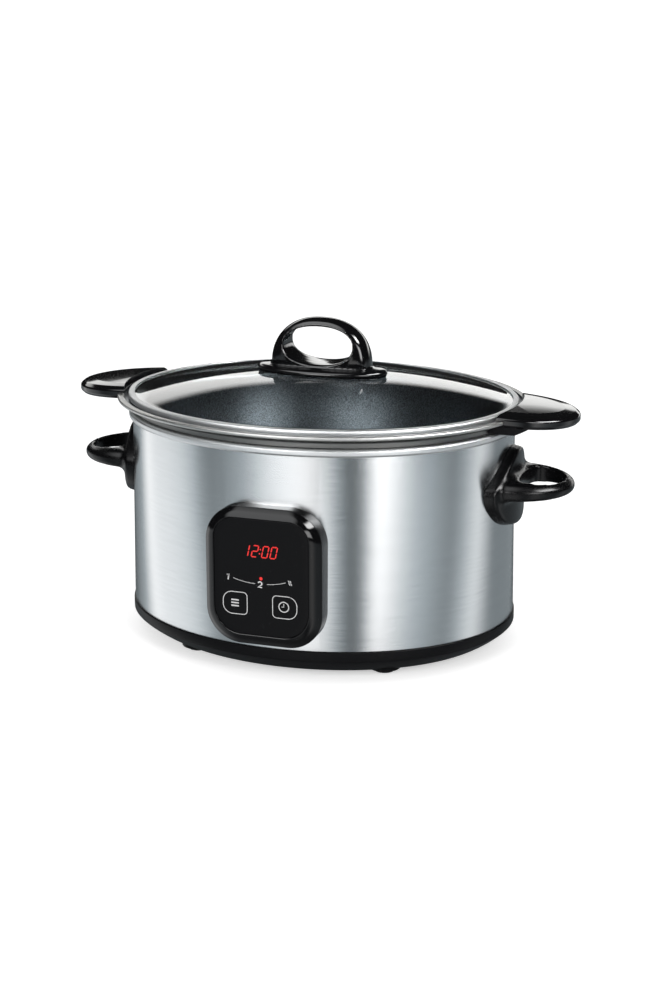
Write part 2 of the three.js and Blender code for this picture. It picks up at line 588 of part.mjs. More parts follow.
/** Distance out to the front of the flat seat for a panel screw's head. */
const coverSeat = ovalY(panelScrew.x + panelScrew.bossRadius, coverOut - cover.sheet + wrapGrow(panel.z)) - 0.6;

function panelCover() {
  const outline = panelPrism(panelOutline(cover.margin - panel.windowMargin), oval.halfWidth / 2, panelFront);
  const skin = wrapBlock(coverOut).subtract(wrapBlock(coverOut - cover.sheet)).intersect(outline);
  let solid = skin;
  for (const [sx, sz] of quadrants) {
    const peg = rod(cover.pegRadius, boardFront - board.thick - GAP - coverSeat,
      [sx * cover.pegX, -coverSeat, panel.z + sz * cover.pegUp], "front", 8);
    solid = solid.add(peg);
  }
  for (const [x, z] of panelBosses) {
    const seat = rod(panelScrew.bossRadius, cover.boss, [x, -coverSeat, z], "front", 12);
    solid = solid.add(seat.intersect(wrapBlock(coverOut)));
    solid = solid.subtract(rod(panelScrew.radius + GAP, panelScrew.length, [x, 1 - coverSeat, z], "front", 10));
  }
  return solid;
}
add("panel_back_cover", panelCover(), materials.blackMatt);
const alongFront = (solid) => solid.rotate([90, 0, 0]); // +Z becomes -Y
panelBosses.forEach(([x, z], i) => {
  const where = ["upper_right", "upper_left", "lower_right", "lower_left"][i];
  const screw = alongFront(panScrew(panelScrew, panelScrew.length)).translate([x, -(coverSeat - GAP), z]);
  add(`panel_screw_${where}`, screw, materials.platedSteel);
});

// ---------------------------------------------------------------- side handles
/** Half outline of the handle's backplate: [fraction of the half width, fraction up or down]. */
const shieldOutline = [[0, 1], [0.16, 0.985], [0.33, 0.86], [0.62, 0.51], [0.87, 0.19], [0.985, -0.03],
  [0.985, -0.25], [0.88, -0.52], [0.66, -0.79], [0.35, -0.95], [0, -1]];
const shieldCurve = new THREE.CatmullRomCurve3(
  [...shieldOutline, ...shieldOutline.slice(1, -1).reverse().map(([a, u]) => [-a, u])]
    .map(([a, u]) => new THREE.Vector3(0, a, u)), true, "centripetal");

/** A ring of the backplate, drawn in and scaled, lying on the housing at an offset from its outside. */
function plateRing(shrink, offset, scale = 1, count = 28) {
  return shieldCurve.getPoints(count).slice(0, count).map(({ y: a, z: u }) => {
    const y = a * (handle.halfWidth - shrink) * scale;
    const z = handle.z + u * ((u > 0 ? handle.above : handle.below) - shrink) * scale;
    return new THREE.Vector3(ovalX(y, wrapGrow(z) + offset), y, z);
  });
}

/** The finger hole of the side loop: an eye, rounder at its outer end. */
function loopHole() {
  const count = 24;
  const points = Array.from({ length: count }, (_, i) => {
    const angle = (2 * Math.PI * i) / count;
    const [c, s] = [Math.cos(angle), Math.sin(angle)];
    return c > 0 ? [loop.holeFar * c, loop.holeHalfWidth * s]
      : [loop.holeNear * signedPower(c, 0.7), loop.holeHalfWidth * signedPower(s, 0.7)];
  });
  return prism(shapeOf(points), 0, over).translate([oval.halfLength + loop.holeMid, 0, 0]);
}

function sideHandle() {
  const { plate: thick, draft, round } = handle;
  const face = draft + round;
  const backplate = loft([
    plateRing(0, -1.5 * thick), plateRing(0, 0), plateRing(draft, thick - round),
    plateRing(draft + 0.3 * round, thick - 0.3 * round),
    ...[1, 0.7, 0.35].map((scale) => plateRing(face, thick, scale))]);
  const tongue = { ...loop, root: oval.halfLength - loop.buried, reach: oval.halfLength + loop.proud };
  const ring = (shrink, up) =>
    tongueRing(tongue, shrink, (fraction) => loop.z + up * (1 - loop.thinning * fraction ** 2));
  const { above, below, shoulder, slope, heel } = loop;
  const bar = loft([
    ring(heel, -below), ring(0.4 * heel, 0.1 * heel - below), ring(0.1 * heel, 0.5 * heel - below),
    ring(0, heel - below), ring(0, above - slope), ring(0.1 * shoulder, above - 0.6 * slope),
    ring(0.36 * shoulder, above - 0.28 * slope), ring(0.67 * shoulder, above - 0.1 * slope),
    ring(shoulder, above)]);
  let solid = backplate.add(bar.subtract(loopHole())).subtract(wrapBlock(GAP));
  for (const z of handleScrewHeights) {
    const from = oval.halfLength * 0.8;
    solid = solid.subtract(rod(handleScrew.radius + GAP, ovalX(0, wrapGrow(z) + thick - handle.skin) - from,
      [from, 0, z], "right"));
  }
  return solid;
}
const rightHandle = sideHandle();
for (const [side, where] of sides) {
  add(`side_handle_${where}`, sided(rightHandle, side), materials.blackGloss);
  handleScrewHeights.forEach((z, i) => {
    const seat = oval.halfLength + wrapGrow(z) - wrap.sheet - handleScrew.inset;
    const screw = panScrew(handleScrew, handleScrew.length).rotate([0, 90, 0]).translate([seat, 0, z]);
    add(`side_handle_screw_${where}_${["upper", "lower"][i]}`, sided(screw, side), materials.platedSteel);
  });
}

// ---------------------------------------------------------------- cooking pot
const flangeUnder = flangeTop - pot.flangeThick;
const collarGrow = topGrow - pot.collarInset;
const cove = [[collarGrow, potShoulder + pot.collar], [collarGrow + 4.3, flangeUnder - 2.2],
  [pot.flange - 4.4, flangeUnder - 0.2]];

function cookingPot() {
  const outerAt = (z) => wellGrow(z) - pot.play;
  const floorGrow = outerAt(potBottom + pot.corner);
  const under = quarterRound(floorGrow, potBottom, pot.corner);
  const above = quarterRound(floorGrow - pot.wall, potBottom + pot.wall, pot.corner - pot.wall).reverse();
  const edge = pot.flange;
  return ovalSolid([
    ...under, [outerAt(potShoulder), potShoulder], [collarGrow, potShoulder], ...cove,
    [edge - 0.7, flangeUnder], [edge, flangeUnder + 0.8], [edge, flangeTop - 0.8], [edge - 0.7, flangeTop],
    [pot.seatOuter, flangeTop], [pot.seatOuter - 0.5, seatTop], [pot.seatInner, seatTop],
    [pot.seatInner - 4, seatTop - 2], [outerAt(potShoulder) - pot.wall + 0.6, seatTop - 5],
    [outerAt(potShoulder) - pot.wall, potShoulder], ...above]);
}
add("cooking_pot", cookingPot(), materials.castAluminium);

// ---------------------------------------------------------------- pot grips, their clamps and screws
const clampTop = flangeUnder - GAP - 0.2;
const clampBottom = clampTop - clamp.height;
/** The space at the right between two distances along Y. */
const stretch = (from, to) => block([oval.halfLength / 2, from, 0], [2 * oval.halfLength, to, over]);
const gripScrewPoints = clamp.screwY.map((y) => [ovalX(y, (pot.flange + clamp.reach) / 2), y]);
const gripSeat = clampBottom + gripScrew.sunk;

function gripClamp() {
  const slack = clamp.slack;
  const upper = cove.map(([g, z]) => [g + slack, z - slack]);
  let solid = ovalSolid([
    [collarGrow + slack, clampBottom], [clamp.reach - 1, clampBottom], [clamp.reach, clampBottom + 1.5],
    [clamp.reach, clampTop], [pot.flange - 4.4 + slack, clampTop], ...upper.slice(0, 2).reverse()], true)
    .intersect(stretch(clamp.from, clamp.to));
  for (const [x, y] of gripScrewPoints) {
    solid = solid.subtract(rod(gripScrew.headRadius + GAP, gripScrew.sunk + 1, [x, y, clampBottom - 1]));
    solid = solid.subtract(screwHole(gripScrew.radius, clamp.height, [x, y, gripSeat - 0.5]));
  }
  return solid;
}

function potGrip() {
  const tongue = { ...grip, root: oval.halfLength - grip.buried, reach: oval.halfLength + grip.proud };
  const ring = (shrink, z) => tongueRing(tongue, shrink,
    (fraction) => z - grip.fall * (1 + (fraction - 1) * (grip.buried + grip.proud) / grip.proud));
  const low = flangeTop - grip.hang;
  const top = flangeTop + grip.crown;
  let solid = loft([
    ring(grip.heel, low - 0.4 * grip.heel), ring(0.3 * grip.heel, low - 0.15 * grip.heel),
    ring(0, low + 0.4 * grip.heel), ...[0, 0.07, 0.26, 0.57, 1].map((inwards) =>
      ring(grip.shoulder * inwards, top - grip.edge * (1 - inwards) ** 8))]);
  solid = solid.subtract(ovalBlock(grip.root, 0, over));
  solid = solid.subtract(ovalBlock(pot.flange + GAP, 0, flangeTop + GAP));
  solid = solid.subtract(ovalBlock(clamp.reach + GAP, 0, clampTop + GAP)
    .intersect(stretch(clamp.from - GAP, clamp.to + GAP)));
  for (const [x, y] of gripScrewPoints) {
    solid = solid.subtract(screwHole(gripScrew.radius, gripScrew.length + 0.6, [x, y, gripSeat]));
  }
  return solid;
}
const rightGrip = potGrip();
const rightClamp = gripClamp();
for (const [side, where] of sides) {
  add(`pot_grip_${where}`, turnedRound(rightGrip, side), materials.blackGloss);
  add(`grip_clamp_${where}`, turnedRound(rightClamp, side), materials.blackMatt);
  gripScrewPoints.forEach(([x, y], i) => {
    const end = (i === 0) === (side > 0) ? "front" : "rear";
    const screw = panScrew(gripScrew, gripScrew.length).translate([x, y, gripSeat - GAP]);
    add(`grip_screw_${where}_${end}`, turnedRound(screw, side), materials.platedSteel);
  });
}

// ---------------------------------------------------------------- lid
const glassGrow = lid.rimGrow - lid.rimSheet - GAP;
const lipGrow = glassGrow - lid.rimHold;
const domeLength = oval.halfLength + lipGrow;
const domeWidth = oval.halfWidth + lipGrow;
/** Height of the top of the glass at a fraction of the way out from the centre to the rim's lip. */
const domeAt = (fraction) => glassTop + lid.rise * (1 - fraction ** lid.domePower);
const domeFractions = [1, 0.84, 0.65, 0.44, 0.2];
const domeRings = (offset) => domeFractions.map((f) =>
  ellipseRing(domeLength * f, domeWidth * f, domeAt(f) + offset));
/** Everything below the top of the glass moved up by an offset. */
const underDome = (offset) => loft([ellipseRing(domeLength, domeWidth, 0), ...domeRings(offset)]);

const gl = lid.glass;
const knobFoot = domeAt(knob.halfLength / domeLength) + GAP;
const lidSeat = domeAt((knob.screwX + lidScrew.headRadius) / domeLength) - gl - 2 * GAP - lidPlate.sheet;
const lidScrewTop = lidSeat + lidScrew.length;
const knobScrews = [[1, "right"], [-1, "left"]].map(([s, where]) => [s * knob.screwX, where]);
const lidHoles = knobScrews.map(([x]) =>
  screwHole(lidScrew.radius, lidScrewTop - lidSeat, [x, 0, lidSeat - 2 * GAP]));
const glass = loft([
  ...domeRings(-gl).reverse(),
  ovalRing(glassGrow - 0.4, glassTop - gl), ovalRing(glassGrow, glassTop - gl + 0.4),
  ovalRing(glassGrow, glassTop - 0.4), ovalRing(glassGrow - 0.4, glassTop), ...domeRings(0)]);
add("lid_glass", subtractAll(glass, lidHoles), materials.glass);

const rimTop = glassTop + GAP + lid.rimSheet;
add("lid_rim", ovalSolid([
  [lipGrow + 0.8, rimBottom], [lid.rimGrow - 1, rimBottom], [lid.rimGrow, rimBottom + 1],
  [lid.rimGrow, rimTop - 1], [lid.rimGrow - 1, rimTop], [lipGrow + 0.8, rimTop],
  [lipGrow + 0.8, rimTop - lid.rimSheet], [lid.rimGrow - lid.rimSheet, rimTop - lid.rimSheet],
  [lid.rimGrow - lid.rimSheet, rimBottom + lid.rimSheet], [lipGrow + 0.8, rimBottom + lid.rimSheet]], true),
materials.brightSteel);

/** Half of a section of the arch, from its opening out: [fraction outwards, fraction of the half depth]. */
const archHalf = (ridge) => [[0, 0.9], [ridge, 1], [0.75, 0.82], [0.92, 0.5], [1, 0.18]];

/** A section of the ring that makes the arch and its footing, at an angle round it, 0 at the right. */
function archSection(angle) {
  const [c, s] = [Math.cos(angle), Math.sin(angle)];
  const foot = knobFoot + knob.archFoot;
  const top = knobFoot + knob.archTop;
  const outer = [knob.archHalfSpan * signedPower(c, 0.87),
    foot + (s > 0 ? (top - foot) * s ** 0.87 : 5 * s)];
  const inner = [knob.openHalfSpan * signedPower(c, 0.91),
    knobFoot + knob.openCentre + knob.openHalfHeight * signedPower(s, 0.91)];
  const thick = Math.hypot(outer[0] - inner[0], outer[1] - inner[1]);
  const half = archHalf(Math.min(0.5, knob.ridge / thick));
  return [...half, ...half.toReversed().map(([lean, v]) => [lean, -v])].map(([lean, v]) => {
    const z = inner[1] + (outer[1] - inner[1]) * lean;
    const rise = (z - foot) / (top - foot);
    const depth = knob.archRootHalfDepth + (knob.archTopHalfDepth - knob.archRootHalfDepth) * rise;
    return new THREE.Vector3(inner[0] + (outer[0] - inner[0]) * lean, v * depth, z);
  });
}

const sealOutline = (growth) => shapeOf(superellipse(knob.halfLength - knob.sealInset + growth,
  knob.halfWidth - knob.sealInset + growth, 2, 28));

function lidHandle() {
  const { halfLength: l, halfWidth: w, crown } = knob;
  const ring = (shrink, up) => ellipseRing(l - shrink, w - shrink, knobFoot + up, 28);
  const plinth = loft([
    ring(1.6, -6), ring(1.4, 0), ring(0, crown * 0.3), ring(0, crown * 0.52), ring(0.8, crown * 0.73),
    ring(3, crown * 0.86), ring(14, crown)]);
  const steps = 26;
  const arch = loft(
    Array.from({ length: steps }, (_, i) => archSection((2 * Math.PI * (i + 0.5)) / steps)), true);
  const bores = knobScrews.map(([x]) =>
    screwHole(lidScrew.radius, lidScrewTop + GAP - glassTop, [x, 0, glassTop]));
  return subtractAll(plinth.add(arch).subtract(underDome(GAP))
    .subtract(prism(sealOutline(GAP), 0, over).intersect(underDome(2 * GAP + knob.seal))), bores);
}
add("lid_handle", lidHandle(), materials.blackGloss);
add("lid_handle_seal", subtractAll(prism(sealOutline(0), 0, over)
  .intersect(underDome(GAP + knob.seal)).subtract(underDome(GAP)), lidHoles), materials.silicone);
const plateShape = shapeOf(superellipse(lidPlate.halfLength, lidPlate.halfWidth, 2, 24));
add("lid_inner_plate", subtractAll(prism(plateShape, 0, over)
  .intersect(underDome(-gl - GAP)).subtract(underDome(-gl - GAP - lidPlate.sheet)), lidHoles),
materials.brightSteel);
for (const [x, where] of knobScrews) {
  const screw = panScrew(lidScrew, lidScrew.length).translate([x, 0, lidSeat]);
  add(`lid_screw_${where}`, screw, materials.brightSteel);
}

export default part;
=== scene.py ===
"""Looks of an oval slow cooker: fine surfaces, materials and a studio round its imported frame.

All shapes are worked out in millimetres and scaled to metres when their meshes are made.
"""

import functools
import math

import bmesh
import bpy
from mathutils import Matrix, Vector


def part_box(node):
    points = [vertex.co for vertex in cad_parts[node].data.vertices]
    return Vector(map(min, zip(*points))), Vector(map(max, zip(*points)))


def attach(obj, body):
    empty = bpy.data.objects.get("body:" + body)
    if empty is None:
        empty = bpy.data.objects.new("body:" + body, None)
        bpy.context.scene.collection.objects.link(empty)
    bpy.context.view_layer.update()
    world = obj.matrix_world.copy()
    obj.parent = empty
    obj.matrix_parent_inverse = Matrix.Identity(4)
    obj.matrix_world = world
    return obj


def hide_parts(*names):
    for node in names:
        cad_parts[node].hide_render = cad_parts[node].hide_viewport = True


bl_info = {
    "name": "Oval Slow Cooker",
    "version": (1, 0, 0),
    "blender": (4, 5, 0),
    "location": "View3D > Sidebar > Slow Cooker",
    "description": "Builds the visible surfaces and materials of an oval slow cooker",
    "category": "Add Mesh",
}

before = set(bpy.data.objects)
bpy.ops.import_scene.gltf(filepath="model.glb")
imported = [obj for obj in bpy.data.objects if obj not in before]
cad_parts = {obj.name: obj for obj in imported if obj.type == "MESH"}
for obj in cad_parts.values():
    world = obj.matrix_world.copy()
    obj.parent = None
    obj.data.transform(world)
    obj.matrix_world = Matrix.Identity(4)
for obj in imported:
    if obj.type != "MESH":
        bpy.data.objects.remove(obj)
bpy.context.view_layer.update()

MM = 0.001  # metres
SIDES = 192  # points round each oval
GAP = 0.3  # clearance between neighbouring pieces
SHARP_EDGE = 38.0  # degrees from which an edge shades as an edge
HANDS = ("right", "left")
ENDS = ("front", "rear")
LEVELS = ("upper", "lower")


def box_mm(node):
    """Lowest and highest corner of a CAD node, in millimetres."""
    low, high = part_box(node)
    return [v / MM for v in low], [v / MM for v in high]


def middle_mm(node):
    """Middle of a CAD node's box, in millimetres."""
    return [(a + b) / 2 for a, b in zip(*box_mm(node))]


WRAP_LOW, WRAP_HIGH = box_mm("outer_wrap")
WELL_LOW, WELL_HIGH = box_mm("heating_well")
POT_LOW, POT_HIGH = box_mm("cooking_pot")
BASE_LOW, BASE_HIGH = box_mm("base_tray")
RIM_LOW, RIM_HIGH = box_mm("lid_rim")
BEZEL_LOW, BEZEL_HIGH = box_mm("panel_bezel")
FACIA_LOW, FACIA_HIGH = box_mm("panel_facia")
HANDLE_LOW, HANDLE_HIGH = box_mm("side_handle_right")
CLAMP_LOW, CLAMP_HIGH = box_mm("grip_clamp_right")
GLASS_HIGH = box_mm("lid_glass")[1]
GRIP_HIGH = box_mm("pot_grip_right")[1]
KNOB_HIGH = box_mm("lid_handle")[1]
HALF_LENGTH = WRAP_HIGH[0]
HALF_WIDTH = WRAP_HIGH[1]


# ------------------------------------------------------------------ sizes and colours


class CookerSizes(bpy.types.PropertyGroup):
    """Sizes of the visible surfaces, in metres."""

    taper: bpy.props.FloatProperty(
        name="Housing taper", description="How much the housing narrows on each side to its top",
        default=0.0025, unit="LENGTH")
    panel_corner: bpy.props.FloatProperty(
        name="Panel corner", description="Corner radius of the control panel's bezel",
        default=0.030, unit="LENGTH")
    panel_bevel: bpy.props.FloatProperty(
        name="Panel bevel", description="Width of the bezel's sloping edge", default=0.0093, unit="LENGTH")
    glass_thickness: bpy.props.FloatProperty(
        name="Lid glass", description="Thickness of the lid's glass", default=0.0035, unit="LENGTH")
    dome_power: bpy.props.FloatProperty(
        name="Dome power", description="How flat the middle of the lid's dome is", default=2.2)


class CookerColours(bpy.types.PropertyGroup):
    """Base colours of the finishes."""

    steel: bpy.props.FloatVectorProperty(
        name="Brushed steel", description="Colour of the housing", subtype="COLOR",
        default=(0.68, 0.694, 0.704))
    polished: bpy.props.FloatVectorProperty(
        name="Polished steel", description="Colour of the beads and the lid's rim", subtype="COLOR",
        default=(0.86, 0.86, 0.85))
    plated: bpy.props.FloatVectorProperty(
        name="Plated steel", description="Colour of screws and brackets", subtype="COLOR",
        default=(0.52, 0.53, 0.54))
    gloss: bpy.props.FloatVectorProperty(
        name="Gloss black", description="Colour of the handles and the bezel", subtype="COLOR",
        default=(0.0032, 0.0032, 0.0036))
    coating: bpy.props.FloatVectorProperty(
        name="Non-stick coating", description="Colour inside the pot", subtype="COLOR",
        default=(0.074, 0.083, 0.092))
    cast: bpy.props.FloatVectorProperty(
        name="Cast aluminium", description="Colour of the pot's flange", subtype="COLOR",
        default=(0.50, 0.50, 0.49))
    display: bpy.props.FloatVectorProperty(
        name="Display red", description="Colour of the lit digits", subtype="COLOR",
        default=(0.90, 0.02, 0.015))
    printing: bpy.props.FloatVectorProperty(
        name="Printing", description="Colour of the marks on the panel", subtype="COLOR",
        default=(0.50, 0.50, 0.50))


class CookerView(bpy.types.PropertyGroup):
    """Where the camera stands."""

    azimuth: bpy.props.FloatProperty(
        name="Azimuth", description="Turn of the camera round the cooker", default=math.radians(18.61),
        subtype="ANGLE")
    elevation: bpy.props.FloatProperty(
        name="Elevation", description="Height of the camera as an angle", default=math.radians(15.885),
        subtype="ANGLE")
    distance: bpy.props.FloatProperty(
        name="Distance", description="From the camera to what it aims at", default=1.63715, unit="LENGTH")
    target: bpy.props.FloatVectorProperty(
        name="Target", description="Point that the camera aims at", default=(0.00847, 0.00285, 0.11627),
        subtype="TRANSLATION")
    lens: bpy.props.FloatProperty(
        name="Lens", description="Focal length in millimetres", default=67.142)


def sizes():
    """The cooker's sizes."""
    return bpy.context.scene.cooker_sizes


def colours():
    """The cooker's colours."""
    return bpy.context.scene.cooker_colours


# ------------------------------------------------------------------ shader graphs


class Value:
    """A shader socket whose arithmetic adds Math nodes."""

    def __init__(self, graph, socket):
        self.graph = graph
        self.socket = socket

    def _math(self, operation, *inputs):
        return self.graph.node("ShaderNodeMath", {"operation": operation}, dict(enumerate(inputs)))

    def __add__(self, other):
        return self._math("ADD", self, other)

    def __radd__(self, other):
        return self._math("ADD", other, self)

    def __sub__(self, other):
        return self._math("SUBTRACT", self, other)

    def __rsub__(self, other):
        return self._math("SUBTRACT", other, self)

    def __mul__(self, other):
        return self._math("MULTIPLY", self, other)

    def __rmul__(self, other):
        return self._math("MULTIPLY", other, self)

    def __gt__(self, other):
        return self._math("GREATER_THAN", self, other)

    def __lt__(self, other):
        return self._math("LESS_THAN", self, other)

    def atan2(self, other):
        return self._math("ARCTAN2", self, other)

    def sqrt(self):
        return self._math("SQRT", self)

    def smooth(self, low, high):
        """0 below low, 1 above high and a smooth step between."""
        return self.graph.node(
            "ShaderNodeMapRange", {"interpolation_type": "SMOOTHSTEP"},
            {"Value": self, "From Min": low, "From Max": high})


class Graph:
    """The node tree of a material or a world."""

    def __init__(self, tree):
        self.tree = tree
        tree.nodes.clear()

    def node(self, kind, settings=None, values=None, output=0):
        """Adds a node: its settings first, then the values or links of its sockets."""
        made = self.tree.nodes.new(kind)
        for name, setting in (settings or {}).items():
            if name == "stops":
                self._stops(made.color_ramp, setting)
            else:
                setattr(made, name, setting)
        for key, value in (values or {}).items():
            socket = made.inputs[key]
            if isinstance(value, Value):
                self.tree.links.new(value.socket, socket)
            else:
                socket.default_value = value
        return Value(self, made.outputs[output]) if made.outputs else None

    @staticmethod
    def _stops(ramp, stops):
        while len(ramp.elements) > 1:
            ramp.elements.remove(ramp.elements[-1])
        for i, (position, colour) in enumerate(stops):
            element = ramp.elements[0] if i == 0 else ramp.elements.new(position)
            element.position = position
            element.color = colour

    def split(self, vector):
        """X, Y and Z of a vector."""
        made = self.node("ShaderNodeSeparateXYZ", values={0: vector}).socket.node
        return [Value(self, socket) for socket in made.outputs]

    def combine(self, x, y, z):
        """A vector of three values."""
        return self.node("ShaderNodeCombineXYZ", values={0: x, 1: y, 2: z})

    def vector(self, operation, *inputs):
        """Vector Math on vectors."""
        return self.node("ShaderNodeVectorMath", {"operation": operation}, dict(enumerate(inputs)))

    def mix(self, factor, a, b):
        """A colour between a and b."""
        return self.node(
            "ShaderNodeMix", {"data_type": "RGBA"}, {"Factor": factor, 6: a, 7: b}, output=2)

    @functools.cached_property
    def place(self):
        """Object coordinates."""
        return self.node("ShaderNodeTexCoord", output="Object")

    @functools.cached_property
    def axes(self):
        """Object coordinates as X, Y and Z values."""
        return self.split(self.place)

    @functools.cached_property
    def turn(self):
        """Angle round the housing's oval."""
        return self.axes[1].atan2(self.axes[0] * (HALF_WIDTH / HALF_LENGTH))

    @functools.cached_property
    def facing(self):
        """The way that the surface faces."""
        return self.node("ShaderNodeNewGeometry", output="Normal")

    def ray(self, fact):
        """A fact of the ray that meets the surface, such as Is Camera Ray."""
        return self.node("ShaderNodeLightPath", output=fact)

    def noise(self, vector, scale, detail, rough):
        """Noise over a vector."""
        return self.node("ShaderNodeTexNoise", values={
            "Vector": vector, "Scale": scale, "Detail": detail, "Roughness": rough})

    def speckle(self, scale, detail=2.0, rough=0.5):
        """Noise over the object's space."""
        return self.noise(self.place, scale, detail, rough)

    def grooves(self, along, up, detail=3.0, rough=0.5, across=0.0):
        """Noise drawn out round the oval, by an amount for each radian and each metre of height."""
        return self.noise(self.combine(self.turn * along, across, self.axes[2] * up), 1.0, detail, rough)

    def bump(self, height, strength, distance):
        """A normal that follows a height."""
        return self.node("ShaderNodeBump", values={
            "Height": height, "Strength": strength, "Distance": distance})

    def mix_shader(self, factor, a, b):
        """Shader a where the factor is 0, and b where it is 1."""
        return self.node("ShaderNodeMixShader", values={0: factor, 1: a, 2: b})

    def add_shader(self, a, b):
        """Two shaders together."""
        return self.node("ShaderNodeAddShader", values={0: a, 1: b})

    def background(self, colour, strength=1.0):
        """Light of the world."""
        return self.node("ShaderNodeBackground", values={"Color": colour, "Strength": strength})

    def surface(self, shader, kind="ShaderNodeOutputMaterial"):
        """Ends the graph with a shader."""
        self.node(kind, values={"Surface": shader})

    def principled(self, values):
        """Ends the graph with a Principled shader."""
        self.surface(self.node("ShaderNodeBsdfPrincipled", values=values))


def rgba(colour, factor=1.0):
    """A colour made darker or lighter, and opaque."""
    return (*[min(1.0, c * factor) for c in colour], 1.0)


FINISHES = {}


def finish(name):
    """A decorator that makes a material of this name once, from a function that fills its graph."""

    def keep(build):
        def give():
            if name not in bpy.data.materials:
                material = bpy.data.materials.new(name)
                material.use_nodes = True
                build(Graph(material.node_tree))
            return bpy.data.materials[name]

        FINISHES[name] = give
        return give

    return keep


# ------------------------------------------------------------------ metals


def grained(g, grain, dark, light, roughness, spread, bump=None, metallic=0.0):
    """Lets one noise tone a surface and roughen it, and raise it where bump gives strength and distance."""
    values = {"Base Color": g.mix(grain, dark, light), "Roughness": roughness + grain * spread}
    if bump:
        values["Normal"] = g.bump(grain, *bump)
    g.principled({**values, "Metallic": metallic})


@finish("brushed_housing_steel")
def brushed_steel(g):
    """Satin steel with fine grooves that run round the housing and break up what it mirrors."""
    steel = colours().steel
    grain = g.grooves(2.6, 420.0, 3.0, 0.6) * 0.5 + g.grooves(9.0, 1900.0, 2.0, 0.6, across=4.0) * 0.5
    cloud = g.speckle(9.0)
    sway = (g.grooves(7.0, 1500.0, 3.0, 0.7, across=9.0) - 0.5) * 0.055
    along = g.vector("CROSS_PRODUCT", g.facing, (0, 0, 1))
    swayed = g.vector("MULTIPLY_ADD", along, g.combine(sway, sway, sway), g.facing)
    g.principled({
        "Base Color": g.mix(grain, rgba(steel, 0.86), rgba(steel, 1.10)), "Metallic": 1.0,
        "Roughness": 0.18 + grain * 0.06 + cloud * 0.02, "Anisotropic": 0.8,
        "Anisotropic Rotation": 0.25, "Normal": g.vector("NORMALIZE", swayed)})


@finish("polished_steel")
def polished_steel(g):
    """Rolled and polished steel with faint draw lines."""
    polished = colours().polished
    grained(g, g.grooves(3.0, 1500.0, 2.0), rgba(polished, 0.94), rgba(polished), 0.16, 0.08,
            bump=(0.05, 0.0002), metallic=1.0)


@finish("plated_steel")
def plated_steel(g):
    """Zinc plated steel with a faint mottle."""
    plated = colours().plated
    grained(g, g.speckle(260.0, 3.0), rgba(plated, 0.82), rgba(plated), 0.30, 0.16,
            bump=(0.04, 0.0003), metallic=1.0)


@finish("non_stick_coating")
def non_stick(g):
    """Dark sprayed coating with a metallic speckle."""
    coating = colours().coating
    flake = g.speckle(1000.0, 2.0, 0.7).smooth(0.36, 0.68)
    lean = (1 - g.axes[2].smooth(0.150, 0.205)) * 0.22  # deep in the pot the shading leans up, to the lamps
    leaning = g.vector("ADD", g.facing, g.combine(0.0, 0.0, lean))
    g.principled({
        "Base Color": g.mix(flake, rgba(coating, 0.7), rgba(coating, 1.9)), "Metallic": 1.0,
        "Roughness": 0.29 + g.speckle(420.0) * 0.08, "Normal": g.vector("NORMALIZE", leaning)})


@finish("brushed_cast_aluminium")
def cast_aluminium(g):
    """Machined aluminium of the pot's flange."""
    cast = colours().cast
    x, y, _ = g.axes
    lines = g.grooves(5.0, 1800.0, across=(x * x + y * y).sqrt() * 1800.0)
    grained(g, lines, rgba(cast, 0.85), rgba(cast, 1.1), 0.32, 0.12, bump=(0.08, 0.0002), metallic=1.0)


@finish("brushed_pot_collar")
def pot_collar(g):
    """Dark brushed finish of the pot's outside and collar."""
    cast = colours().cast
    grained(g, g.grooves(3.0, 1800.0), rgba(cast, 0.30), rgba(cast, 0.46), 0.34, 0.12,
            bump=(0.08, 0.0002), metallic=1.0)


# ------------------------------------------------------------------ plastics, rubber and glass


def black_moulding(g, roughness, spread, lightest=1.0, specular=0.5):
    """Black moulding with a very slight ripple, wiped a little duller in places."""
    gloss = colours().gloss
    wipe = g.speckle(24.0, 3.0)
    g.principled({
        "Base Color": g.mix(wipe, rgba(gloss), rgba(gloss, lightest)) if lightest > 1 else rgba(gloss),
        "Roughness": roughness + wipe * spread, "IOR": 1.5, "Specular IOR Level": specular,
        "Normal": g.bump(g.speckle(60.0), 0.02, 0.0006)})


@finish("gloss_black_plastic")
def gloss_black(g):
    """Deep gloss black of the grips and the lid's handle."""
    black_moulding(g, 0.06, 0.05, lightest=1.5)


@finish("side_handle_plastic")
def handle_black(g):
    """Softer gloss of the side handles."""
    black_moulding(g, 0.21, 0.06, specular=0.22)


@finish("panel_surround_plastic")
def surround_black(g):
    """Gloss black of the panel's surround, a little quieter than the grips."""
    black_moulding(g, 0.07, 0.03, specular=0.26)


@finish("gloss_facia")
def gloss_facia(g):
    """Flat facia of clear-faced black plastic."""
    g.principled({
        "Base Color": rgba(colours().gloss, 1.3), "Roughness": 0.12 + g.speckle(30.0, 3.0) * 0.05,
        "IOR": 1.48, "Specular IOR Level": 0.08})


@finish("satin_black_plastic")
def satin_black(g):
    """Moulded black plastic with a fine spark texture."""
    gloss = colours().gloss
    cloud = g.speckle(20.0)
    g.principled({
        "Base Color": g.mix(cloud, rgba(gloss, 1.2), rgba(gloss, 1.9)), "Roughness": 0.30 + cloud * 0.10,
        "Specular IOR Level": 0.06, "Normal": g.bump(g.speckle(1500.0), 0.12, 0.0001)})


@finish("black_rubber")
def black_rubber(g):
    """Matt rubber of the feet and the cord gland."""
    grained(g, g.speckle(900.0, 3.0), rgba((0.008, 0.008, 0.008)), rgba((0.016, 0.016, 0.016)), 0.62, 0.15,
            bump=(0.15, 0.0002))


